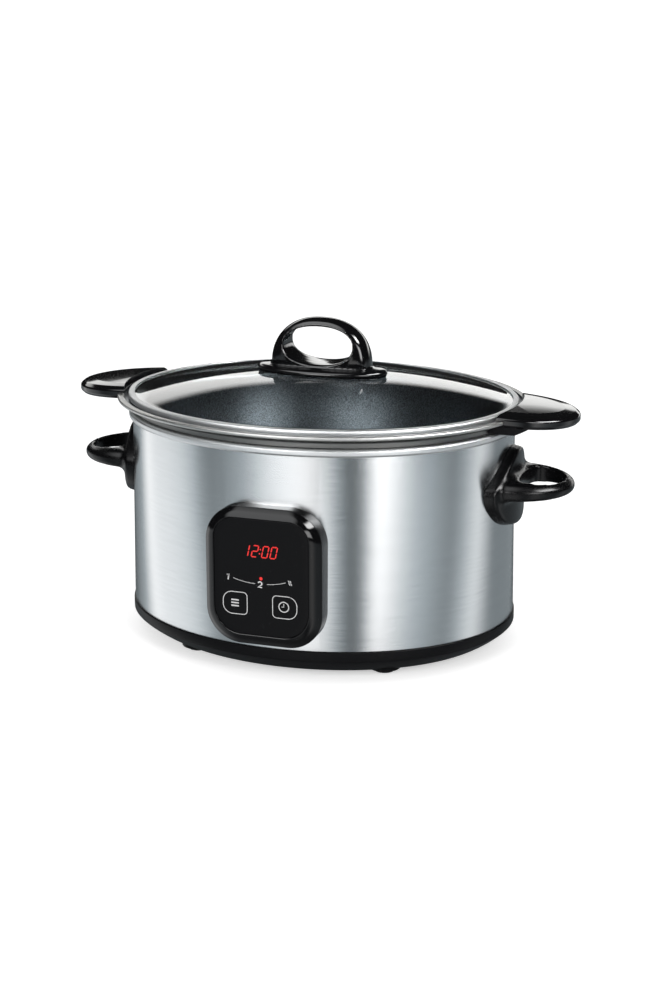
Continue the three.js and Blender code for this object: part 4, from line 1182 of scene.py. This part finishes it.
def build_side_handles():
    """Both side handles, each a shield on the housing's side with a loop that grows out of it."""
    black = ["side_handle_plastic"]
    thick, draft = 8.5, 1.8
    face = draft + 6
    edge = filleted([(0, 0, 0), (draft, thick, 1.8), (face, thick, 0)], steps=6)
    handle = loft("side_handle_shell_right", [
        shield_ring(0, -1.5 * thick), *[shield_ring(shrink, offset) for shrink, offset in edge],
        *[shield_ring(face, thick, scale) for scale in (0.8, 0.6, 0.4, 0.2)]], black)
    loop = loft("side_loop", [loop_ring(shrink, up) for shrink, up in filleted([
        (14, -7.5, 0), (1.6, -7.5, 3.5), (0, -3.4, 3), (0, 1.6, 3), (3.4, 6.6, 6), (9, 8, 5), (14, 8.1, 0)],
        steps=8)], black)
    combine(loop, [loop_hole()])
    combine(handle, [loop], "UNION")
    melt(handle, voxel=0.8, passes=20, fillet=5.0)
    combine(handle, [wrap_block("handle_tool")])
    other = mirrored(handle, "side_handle_shell_left")
    settle(handle, "housing", "gloss_black", "side_handle_right")
    settle(other, "housing", "gloss_black", "side_handle_left")


# ------------------------------------------------------------------ cooking pot


COLLAR_ZONE, FLANGE_ZONE, COATED_ZONE = range(3)


def build_pot():
    """The pot: its outside and collar, its bright flange and its coated inside."""
    flange_top, floor = POT_HIGH[2], POT_LOW[2]
    edge = POT_HIGH[0] - HALF_LENGTH
    under = flange_top - FLANGE_SHEET
    collar = top_grow() - COLLAR_INSET
    seat = flange_top - 2.9  # the sunken ledge that the lid closes on
    wall = 3.0
    outer_top = top_grow() - WELL_INSET - 1.6 - 0.01
    outer_low = outer_top - 3.9
    profile = filleted([
        (INNERMOST, floor, 0), (outer_low, floor, 20), (outer_top, POT_SHOULDER, 0.3),
        (collar, POT_SHOULDER, 0.6), (collar, POT_SHOULDER + COLLAR_RISE, 2.0),
        (collar + COLLAR_FLARE, under - FLANGE_DIP, 3.0), (edge - 1.2, under, 2.0),
        (edge, under + 0.4, 1.0), (edge, flange_top, 1.5), (5.3, flange_top, 0.5), (4.8, seat, 0.5),
        (-6, seat, 2), (outer_top - wall, seat - 5, 6), (outer_low - wall, floor + wall, 17),
        (INNERMOST, floor + wall, 0)], steps=8)
    zones = []
    for i, ((g0, z0), (g1, z1)) in enumerate(zip(profile, profile[1:])):
        grow, up = (g0 + g1) / 2, (z0 + z1) / 2
        if i > len(profile) // 2 and (grow < 5.25 and up > seat - 8 or grow < outer_top - wall / 2):
            zones.append(COATED_ZONE)
        else:
            zones.append(FLANGE_ZONE if grow > collar + 4 else COLLAR_ZONE)
    pot = oval_solid("cooking_pot_shell", profile,
                     ["brushed_pot_collar", "brushed_cast_aluminium", "non_stick_coating"], zones=zones)
    settle(pot, "pot", "pot_aluminium", "cooking_pot")


def right_end(name, low_y, high_y):
    """A tall block over the right end of the oval, between two distances across."""
    corners = [(low_y, 0), (high_y, 0), (high_y, ABOVE), (low_y, ABOVE)]
    return prism(name, corners, HALF_LENGTH / 2, 2 * HALF_LENGTH, "x")


def grip_ring(shrink, z):
    """A ring of the grip's tongue, which droops toward its nose."""
    root, reach, half_width, droop = HALF_LENGTH - 30, GRIP_HIGH[0], 48.0, 3.2
    return tongue_ring(root, reach, half_width, 0.62, 1.05, shrink,
                       lambda x: z - droop * (x - HALF_LENGTH) / (reach - HALF_LENGTH))


def build_grips():
    """Both grips, which cap the ends of the pot's flange."""
    low, top = POT_HIGH[2] - 4.2, GRIP_HIGH[2]
    grip = loft("pot_grip_shell_right", [grip_ring(shrink, z) for shrink, z in filleted([
        (16, low - 1.6, 0), (3, low - 1.6, 2), (0, low + 1.4, 2.5), (0, top - 4.6, 2.6), (3.8, top - 1.9, 5),
        (13, top - 0.8, 10), (34, top, 0)], steps=8)], ["gloss_black_plastic"])
    flange = POT_HIGH[0] - HALF_LENGTH + GAP
    clamp = CLAMP_HIGH[0] - HALF_LENGTH + GAP
    pocket = oval_solid("clamp_pocket", [(clamp, 0), (clamp, CLAMP_HIGH[2] + GAP)])
    combine(pocket, [right_end("pocket_sides", CLAMP_LOW[1] - GAP, CLAMP_HIGH[1] + GAP)], "INTERSECT")
    combine(grip, [oval_solid("pot_mouth", [(5, 0), (5, ABOVE)]),
                   oval_solid("flange_seat", [(flange, 0), (flange, POT_HIGH[2] + GAP)]), pocket])
    settle(grip, "pot", "gloss_black", "pot_grip_right")
    settle(turned_round(grip, "pot_grip_shell_left"), "pot", "gloss_black", "pot_grip_left")


def build_clamps():
    """The black blocks that hold the grips under the pot's flange."""
    low, high = CLAMP_LOW[2], CLAMP_HIGH[2]
    slack = 0.6
    flange_under = POT_HIGH[2] - FLANGE_SHEET
    collar = top_grow() - COLLAR_INSET
    edge = POT_HIGH[0] - HALF_LENGTH
    reach = CLAMP_HIGH[0] - HALF_LENGTH
    clamp = oval_solid("grip_clamp_block_right", filleted([
        (collar + slack, low, 0.3), (reach, low, 1.6), (reach, high, 0.3), (edge - 4.4 + slack, high, 0.3),
        (collar + COLLAR_FLARE + slack, flange_under - FLANGE_DIP - slack, 1),
        (collar + slack, POT_SHOULDER + COLLAR_RISE - slack, 1)], closed=True), closed=True)
    combine(clamp, [right_end("clamp_sides", CLAMP_LOW[1], CLAMP_HIGH[1])], "INTERSECT")
    combine(clamp, [turned("clamp_hole", [
        (AXIS, low - 2), (3.7, low - 2), (3.7, low + 3), (2.3, low + 3), (2.3, high + 3), (AXIS, high + 3)],
        middle_mm(f"grip_screw_right_{end}")) for end in ENDS])
    other = turned_round(clamp, "grip_clamp_block_left")
    settle(clamp, "pot", "base_plastic", "grip_clamp_right")
    settle(other, "pot", "base_plastic", "grip_clamp_left")


# ------------------------------------------------------------------ lid


RIM_GROW = 1  # of the rim's outside beyond the housing's oval
RIM_SHEET = 0.8
GLASS_EDGE = RIM_GROW - RIM_SHEET - GAP
LIP = GLASS_EDGE - 5  # where the rim's lips end and the dome starts
DOME_LENGTH, DOME_WIDTH = HALF_LENGTH + LIP, HALF_WIDTH + LIP
DOME_FOOT = RIM_HIGH[2] - RIM_SHEET - GAP


def dome_at(fraction):
    """Height of the dome at a share of the way out."""
    return DOME_FOOT + (GLASS_HIGH[2] - DOME_FOOT) * (1 - fraction ** sizes().dome_power)


def dome_rings(offset, steps=40):
    """Rings of the dome from its foot in to its crown, raised by an offset."""
    fractions = [1 - i / steps for i in range(steps)]
    return [ellipse_ring(DOME_LENGTH * f, DOME_WIDTH * f, dome_at(f) + offset) for f in fractions]


def build_glass():
    """The lid's dome of glass with its rounded edge."""
    thick = sizes().glass_thickness / MM
    inner = GLASS_EDGE - 3
    edge = filleted([(inner, DOME_FOOT - thick, 0), (GLASS_EDGE, DOME_FOOT - thick, 0.8),
                     (GLASS_EDGE, DOME_FOOT, 0.8), (inner, DOME_FOOT, 0)])
    glass = loft("lid_glass_dome", [
        *reversed(dome_rings(-thick)), *[oval_ring(grow, z) for grow, z in edge], *dome_rings(0)],
        ["clear_glass"])
    settle(glass, "lid", "lid_glass", "lid_glass")


def build_rim():
    """The steel band rolled round the edge of the glass."""
    bottom, top = RIM_LOW[2], RIM_HIGH[2]
    lip = LIP + 0.8
    rim = oval_solid("lid_rim_band", filleted([
        (lip, bottom, 0.3), (RIM_GROW, bottom, 1.4), (RIM_GROW, top, 1.9), (lip, top, 0.38),
        (lip, top - RIM_SHEET, 0.38), (RIM_GROW - RIM_SHEET, top - RIM_SHEET, 1.0),
        (RIM_GROW - RIM_SHEET, bottom + RIM_SHEET, 0.7), (lip, bottom + RIM_SHEET, 0.3)],
        closed=True, steps=7), ["polished_steel"], closed=True)
    settle(rim, "lid", "polished_steel", "lid_rim")


SEAL_THICKNESS = 1.2
ARCH_SECTIONS = 112
ARCH_HALF_SPAN = 44
ARCH_DEPTH = 16  # from its middle to its front, at the foot
ARCH_THINNING = 7  # how much less that is at the top
OPENING_HALF_SPAN = 31
OPENING_HALF_HEIGHT = 16
OPENING_MIDDLE = 25.6  # above the foot


def arch_section(angle, foot):
    """A section of the ring that makes the arch and its footing, at an angle round it, 0 at the right."""
    c, s = math.cos(angle), math.sin(angle)
    low, top = foot + 6.6, KNOB_HIGH[2] - 0.2
    outer = (ARCH_HALF_SPAN * signed_power(c, 0.87), low + ((top - low) * s ** 0.87 if s > 0 else 5 * s))
    inner = (OPENING_HALF_SPAN * signed_power(c, 0.91),
             foot + OPENING_MIDDLE + OPENING_HALF_HEIGHT * signed_power(s, 0.91))
    thick = math.hypot(outer[0] - inner[0], outer[1] - inner[1])
    half = [(0.0, 0.9), (min(0.5, 3.3 / thick), 1.0), (0.75, 0.82), (0.92, 0.5), (1.0, 0.18)]
    ring = []
    for lean, v in catmull(half + [(lean, -v) for lean, v in reversed(half)], 4):
        z = inner[1] + (outer[1] - inner[1]) * lean
        depth = ARCH_DEPTH - ARCH_THINNING * (z - low) / (top - low)
        ring.append((inner[0] + (outer[0] - inner[0]) * lean, v * depth, z))
    return ring


def under_dome(name, offset):
    """A solid that fills the space under the dome, up to an offset from the glass."""
    return loft(name, [ellipse_ring(DOME_LENGTH, DOME_WIDTH, 0), *dome_rings(offset)])


def seal_outline(growth):
    """Outline of the seal under the lid's handle."""
    return ellipse(KNOB_HIGH[0] - 4 + growth, KNOB_HIGH[1] - 4 + growth, 120)


def build_lid_handle():
    """The lid's handle: an arch melted into an oval plinth, with a pocket for its seal."""
    foot = dome_at(KNOB_HIGH[0] / DOME_LENGTH) + GAP
    levels = filleted([(1.6, -6, 0), (1.5, 0.2, 0.8), (0, 2.2, 1.0), (0, 4.4, 1.8), (2.4, 6.3, 2.5),
                       (14, 7.4, 0)], steps=7)
    plinth = loft("lid_handle_shell", [
        ellipse_ring(KNOB_HIGH[0] - shrink, KNOB_HIGH[1] - shrink, foot + up, 160) for shrink, up in levels],
        ["gloss_black_plastic"])
    turns = [math.tau * (i + 0.5) / ARCH_SECTIONS for i in range(ARCH_SECTIONS)]
    arch = loft("arch", [arch_section(t, foot) for t in turns], ["gloss_black_plastic"], closed=True)
    combine(plinth, [arch], "UNION")
    melt(plinth, voxel=0.6, passes=24)
    combine(plinth, [under_dome("dome_tool", GAP)])
    pocket = prism("pocket", seal_outline(GAP), BELOW_LID, ABOVE)
    combine(pocket, [under_dome("pocket_dome", 2 * GAP + SEAL_THICKNESS)], "INTERSECT")
    combine(plinth, [pocket])
    settle(plinth, "lid", "gloss_black", "lid_handle")


def domed_plate(name, outline, above, below, material, holes=()):
    """A plate of an outline between two offsets from the top of the glass, which it follows."""
    plate = prism(name, outline, BELOW_LID, ABOVE, materials=(material,))
    combine(plate, [under_dome("above", above)], "INTERSECT")
    combine(plate, [under_dome("below", below), *holes])
    return plate


def build_lid_fixings():
    """The seal under the handle, and the steel plate under the glass that its screws pull on."""
    under = -sizes().glass_thickness / MM - GAP
    seal = domed_plate("lid_handle_gasket", seal_outline(0), GAP + SEAL_THICKNESS, GAP, "dark_silicone")
    holes = [peg("lid_hole", 2.3, 200, 260, (middle_mm(f"lid_screw_{side}")[0], 0)) for side in HANDS]
    plate = domed_plate("lid_inner_bar", ellipse(50, 10, 96), under, under - 1.2, "polished_steel", holes)
    settle(seal, "lid", "seal_silicone", "lid_handle_seal")
    settle(plate, "lid", "polished_steel", "lid_inner_plate")


# ------------------------------------------------------------------ parts inside the housing


CARRIED = {
    "mica_sheet": ["heater_band"],
    "plated_steel": [
        "heater_clamp", "heat_shield", "temperature_sensor",
        *[f"standoff_{end}_{side}" for end in ENDS for side in HANDS],
        *[f"panel_screw_{level}_{side}" for level in LEVELS for side in HANDS],
        *[f"side_handle_screw_{side}_{level}" for side in HANDS for level in LEVELS]],
    "polished_steel": ["sensor_clip"],
    "dark_component": ["thermal_fuse", "power_relay", "terminal_block", "display_module"],
    "circuit_board": ["power_board", "control_board"],
    "dark_silicone": ["touch_pad_right", "touch_pad_left"],
    "satin_black_plastic": ["panel_back_cover"],
}


def dress_inside():
    """Gives the parts inside the housing their finishes."""
    for name, nodes in CARRIED.items():
        for node in nodes:
            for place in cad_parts[node].material_slots:
                place.material = FINISHES[name]()


# ------------------------------------------------------------------ studio


@finish("studio_paper")
def studio_paper(g):
    """Seamless white paper that keeps a soft shadow."""
    paper = g.node("ShaderNodeBsdfDiffuse", values={
        "Color": g.mix(g.speckle(40.0), rgba((0.80, 0.80, 0.80)), rgba((0.82, 0.82, 0.82)))})
    seen = g.ray("Is Camera Ray") + g.ray("Is Transmission Ray")
    glow = g.node("ShaderNodeEmission", values={"Color": rgba((1, 1, 1)), "Strength": seen * 0.52})
    g.surface(g.add_shader(paper, glow))


def stand_off(obj, aim, azimuth, elevation, distance):
    """Stands a camera or a lamp off from a point, and turns it to look there."""
    level = math.cos(elevation)
    away = Vector((math.sin(azimuth) * level, -math.cos(azimuth) * level, math.sin(elevation)))
    obj.location = Vector(aim) + away * distance
    obj.rotation_euler = away.to_track_quat("Z", "Y").to_euler()


FLOOR_REACH = 60000  # from the middle to each side
FLOOR_DROP = 0.02  # below the feet


def build_floor():
    """A wide floor of paper, just below the feet."""
    r = FLOOR_REACH
    floor = new_object("studio_floor", [(-r, -r, 0), (r, -r, 0), (r, r, 0), (-r, r, 0)], [(0, 1, 2, 3)],
                       ["studio_paper"])
    floor.location.z = -FLOOR_DROP * MM
    floor.visible_glossy = False


def build_camera():
    """The camera, where the view's settings say."""
    view = bpy.context.scene.cooker_view
    camera = bpy.data.cameras.new("studio_camera")
    camera.lens = view.lens
    camera.sensor_width = 36
    camera.clip_start = 0.05
    camera.clip_end = 200
    stand = linked("studio_camera", camera)
    stand_off(stand, view.target, view.azimuth, view.elevation, view.distance)
    bpy.context.scene.camera = stand


LAMP_AIM = (0, 0, 0.12)  # metres
SOFT_BOXES = {  # azimuth and elevation in degrees, distance, width and height in metres, radiance
    "soft_box_left": (-12, 22, 1.5, 0.40, 0.45, 9.0),
    "soft_box_right": (44, 26, 1.5, 0.42, 0.50, 9.0),
}


def add_soft_box(name, azimuth, elevation, distance, width, height, radiance):
    """A lamp that lights matt surfaces, and is seen neither by the camera nor in reflections."""
    lamp = bpy.data.lights.new(name, "AREA")
    lamp.shape = "RECTANGLE"
    lamp.size = width
    lamp.size_y = height
    lamp.energy = math.pi * width * height * radiance
    made = linked(name, lamp)
    stand_off(made, LAMP_AIM, math.radians(azimuth), math.radians(elevation), distance)
    made.visible_camera = False
    made.visible_glossy = False


STUDIO_LEVELS = [  # degrees from straight in front, to the right, and how bright the wall is there
    (-180, 0.10), (-155, 0.03), (-121, 0.30), (-112, 0.80), (-108, 0.98), (-98, 0.80), (-85, 0.77),
    (-73, 0.68), (-64, 0.49), (-59, 0.28), (-52, 0.20), (-46, 0.26), (-37, 0.38), (-25, 0.55),
    (-3, 1.00), (4, 0.93), (9, 0.72), (15, 0.34), (20, 0.115), (24, 0.12), (28, 0.24), (33, 0.85),
    (37, 1.18), (42, 0.99), (51, 0.69), (60, 0.50), (70, 0.38), (80, 0.27), (87, 0.22), (95, 0.34),
    (112, 0.76), (132, 0.20)]
WALL_STRENGTH = 1.45
LOW_WALL = rgba((0.12, 0.125, 0.13))
DARK_CEILING = rgba((0.008, 0.008, 0.008))
CEILING_GLOW = (2.6, 2.63, 2.66, 1)
CEILING_GLOW_TOWARD = (-0.310, -0.516, 0.799)
FRONT_LIGHTS = [  # from and to in degrees as above, lowest and highest sine of the slope, radiance
    (-32, 4, 0.06, 0.46, 8.5), (23, 57, 0.06, 0.46, 9.5), (46, 106, 0.56, 0.84, 32.0)]
REAR_STRIP = ((1, 1, 0.985, 1), 2.5)  # colour and strength


def studio_grey(level):
    """A grey that turns a little cooler as it gets darker."""
    cool = min(1.0, max(0.0, (0.9 - level) / 0.5))
    return (level * (1 - 0.11 * cool), level, level * (1 + 0.055 * cool), 1.0)


def studio_walls(g, turn, toward):
    """Soft walls and dark gaps round the cooker, under a dark ceiling with one glow."""
    x, y, z = toward
    stops = [(angle / 360 + 0.5, studio_grey(level)) for angle, level in STUDIO_LEVELS]
    walls = g.node("ShaderNodeValToRGB", {"stops": stops}, {0: turn})
    walls = g.mix(z.smooth(-0.95, -0.64), LOW_WALL, walls)
    glow_x, glow_y, glow_z = CEILING_GLOW_TOWARD
    glow = (x * glow_x + y * glow_y + z * glow_z).smooth(0.86, 0.985)
    return g.mix(z.smooth(-0.13, -0.04), walls, g.mix(glow, DARK_CEILING, CEILING_GLOW))


def front_lights(round_front, z):
    """How bright the front lights are: soft-edged panels for the pot's coating and the gloss to mirror."""
    side_fade, foot_fade, top_fade = 12, 0.06, 0.10
    lit = 0.0
    for left, right, bottom, top, level in FRONT_LIGHTS:
        across = round_front.smooth(left, left + side_fade)
        across = across * (1 - round_front.smooth(right - side_fade, right))
        up = z.smooth(bottom, bottom + foot_fade)
        lit = across * up * (1 - z.smooth(top - top_fade, top)) * level + lit
    return lit


def rear_strip(toward):
    """Where the bright strip stands behind the cooker, which slopes down to the right."""
    x, y, z = toward
    round_back = x.atan2(y) * (180 / math.pi)  # degrees from straight behind, to the right
    above = z - (round_back * -0.0050 + 0.072)
    strip = above.smooth(0.0, 0.012) * (1 - above.smooth(0.13, 0.20))
    return round_back.smooth(-75, -60) * (1 - round_back.smooth(20, 35)) * strip


def fill_world(g):
    """White for the camera, a plain room for matt surfaces, and a studio for what steel and gloss mirror."""
    toward = g.split(g.node("ShaderNodeTexCoord", output="Generated"))
    x, y, z = toward
    turn = x.atan2(y * -1.0) * (0.5 / math.pi) + 0.5
    lit = front_lights((turn - 0.5) * 360.0, z)
    studio = g.add_shader(
        g.mix_shader(rear_strip(toward), g.background(studio_walls(g, turn, toward), WALL_STRENGTH),
                     g.background(*REAR_STRIP)),
        g.background(g.combine(lit, lit, lit)))
    clear = g.ray("Is Transmission Ray")
    plain = g.mix_shader(
        g.ray("Is Camera Ray") + clear, g.background(rgba((0.78, 0.78, 0.78))), g.background(rgba((1, 1, 1))))
    under_glass = (g.ray("Transmission Depth") > 0.5) * (1 - clear)
    mirrored_ray = (g.ray("Glossy Depth") + under_glass) > 0.5
    g.surface(g.mix_shader(mirrored_ray, plain, studio), "ShaderNodeOutputWorld")


def build_stage():
    """The floor, the camera, the lamps and the world."""
    build_floor()
    build_camera()
    for name, box in SOFT_BOXES.items():
        add_soft_box(name, *box)
    world = bpy.data.worlds.new("studio_world")
    world.use_nodes = True
    bpy.context.scene.world = world
    fill_world(Graph(world.node_tree))
    bpy.context.scene.view_settings.view_transform = "Standard"


# ------------------------------------------------------------------ operators and panel


class COOKER_OT_housing(bpy.types.Operator):
    """Build the brushed steel wrap of the housing"""

    bl_idname = "cooker.housing"
    bl_label = "Housing Wrap"

    def execute(self, context):
        build_wrap()
        return {"FINISHED"}


class COOKER_OT_well(bpy.types.Operator):
    """Build the heated well with its rolled bead"""

    bl_idname = "cooker.well"
    bl_label = "Heated Well"

    def execute(self, context):
        build_well()
        return {"FINISHED"}


class COOKER_OT_base(bpy.types.Operator):
    """Build the base tray, its feet and the cord gland"""

    bl_idname = "cooker.base"
    bl_label = "Base, Feet and Gland"

    def execute(self, context):
        build_base()
        build_feet()
        build_gland()
        return {"FINISHED"}


class COOKER_OT_control_panel(bpy.types.Operator):
    """Build the control panel's surround, facia, digits and marks"""

    bl_idname = "cooker.control_panel"
    bl_label = "Control Panel"

    def execute(self, context):
        build_panel()
        return {"FINISHED"}


class COOKER_OT_side_handles(bpy.types.Operator):
    """Build both side handles"""

    bl_idname = "cooker.side_handles"
    bl_label = "Side Handles"

    def execute(self, context):
        build_side_handles()
        return {"FINISHED"}


class COOKER_OT_pot(bpy.types.Operator):
    """Build the cooking pot"""

    bl_idname = "cooker.pot"
    bl_label = "Cooking Pot"

    def execute(self, context):
        build_pot()
        return {"FINISHED"}


class COOKER_OT_grips(bpy.types.Operator):
    """Build the pot's grips and their clamps"""

    bl_idname = "cooker.grips"
    bl_label = "Pot Grips"

    def execute(self, context):
        build_grips()
        build_clamps()
        return {"FINISHED"}


class COOKER_OT_lid(bpy.types.Operator):
    """Build the lid's glass and steel rim"""

    bl_idname = "cooker.lid"
    bl_label = "Lid"

    def execute(self, context):
        build_glass()
        build_rim()
        return {"FINISHED"}


class COOKER_OT_lid_handle(bpy.types.Operator):
    """Build the lid's handle, its seal and the plate under the glass"""

    bl_idname = "cooker.lid_handle"
    bl_label = "Lid Handle"

    def execute(self, context):
        build_lid_handle()
        build_lid_fixings()
        return {"FINISHED"}


class COOKER_OT_fixings(bpy.types.Operator):
    """Build the screws that can be seen and dress the parts inside"""

    bl_idname = "cooker.fixings"
    bl_label = "Screws and Inner Parts"

    def execute(self, context):
        build_screws()
        dress_inside()
        return {"FINISHED"}


class COOKER_OT_studio(bpy.types.Operator):
    """Set up the floor, the lights and the camera"""

    bl_idname = "cooker.studio"
    bl_label = "Studio"

    def execute(self, context):
        build_stage()
        return {"FINISHED"}


STEPS = (
    COOKER_OT_housing, COOKER_OT_well, COOKER_OT_base, COOKER_OT_control_panel, COOKER_OT_side_handles,
    COOKER_OT_pot, COOKER_OT_grips, COOKER_OT_lid, COOKER_OT_lid_handle, COOKER_OT_fixings, COOKER_OT_studio)


class COOKER_PT_sidebar(bpy.types.Panel):
    """Sizes, colours and build steps of the slow cooker"""

    bl_idname = "COOKER_PT_sidebar"
    bl_label = "Oval Slow Cooker"
    bl_space_type = "VIEW_3D"
    bl_region_type = "UI"
    bl_category = "Slow Cooker"

    def draw(self, context):
        layout = self.layout
        for group in (context.scene.cooker_sizes, context.scene.cooker_colours, context.scene.cooker_view):
            box = layout.box()
            for name in group.__annotations__:
                box.prop(group, name)
        for step in STEPS:
            layout.operator(step.bl_idname)


CLASSES = (CookerSizes, CookerColours, CookerView, *STEPS, COOKER_PT_sidebar)


def register():
    """Adds the classes, and their settings to the scene."""
    for cls in CLASSES:
        bpy.utils.register_class(cls)
    bpy.types.Scene.cooker_sizes = bpy.props.PointerProperty(type=CookerSizes)
    bpy.types.Scene.cooker_colours = bpy.props.PointerProperty(type=CookerColours)
    bpy.types.Scene.cooker_view = bpy.props.PointerProperty(type=CookerView)


def unregister():
    """Takes the settings and the classes away."""
    del bpy.types.Scene.cooker_view
    del bpy.types.Scene.cooker_colours
    del bpy.types.Scene.cooker_sizes
    for cls in reversed(CLASSES):
        bpy.utils.unregister_class(cls)


def main():
    """Builds everything."""
    register()
    for step in STEPS:
        group, name = step.bl_idname.split(".")
        getattr(getattr(bpy.ops, group), name)()


if __name__ == "__main__":
    main()
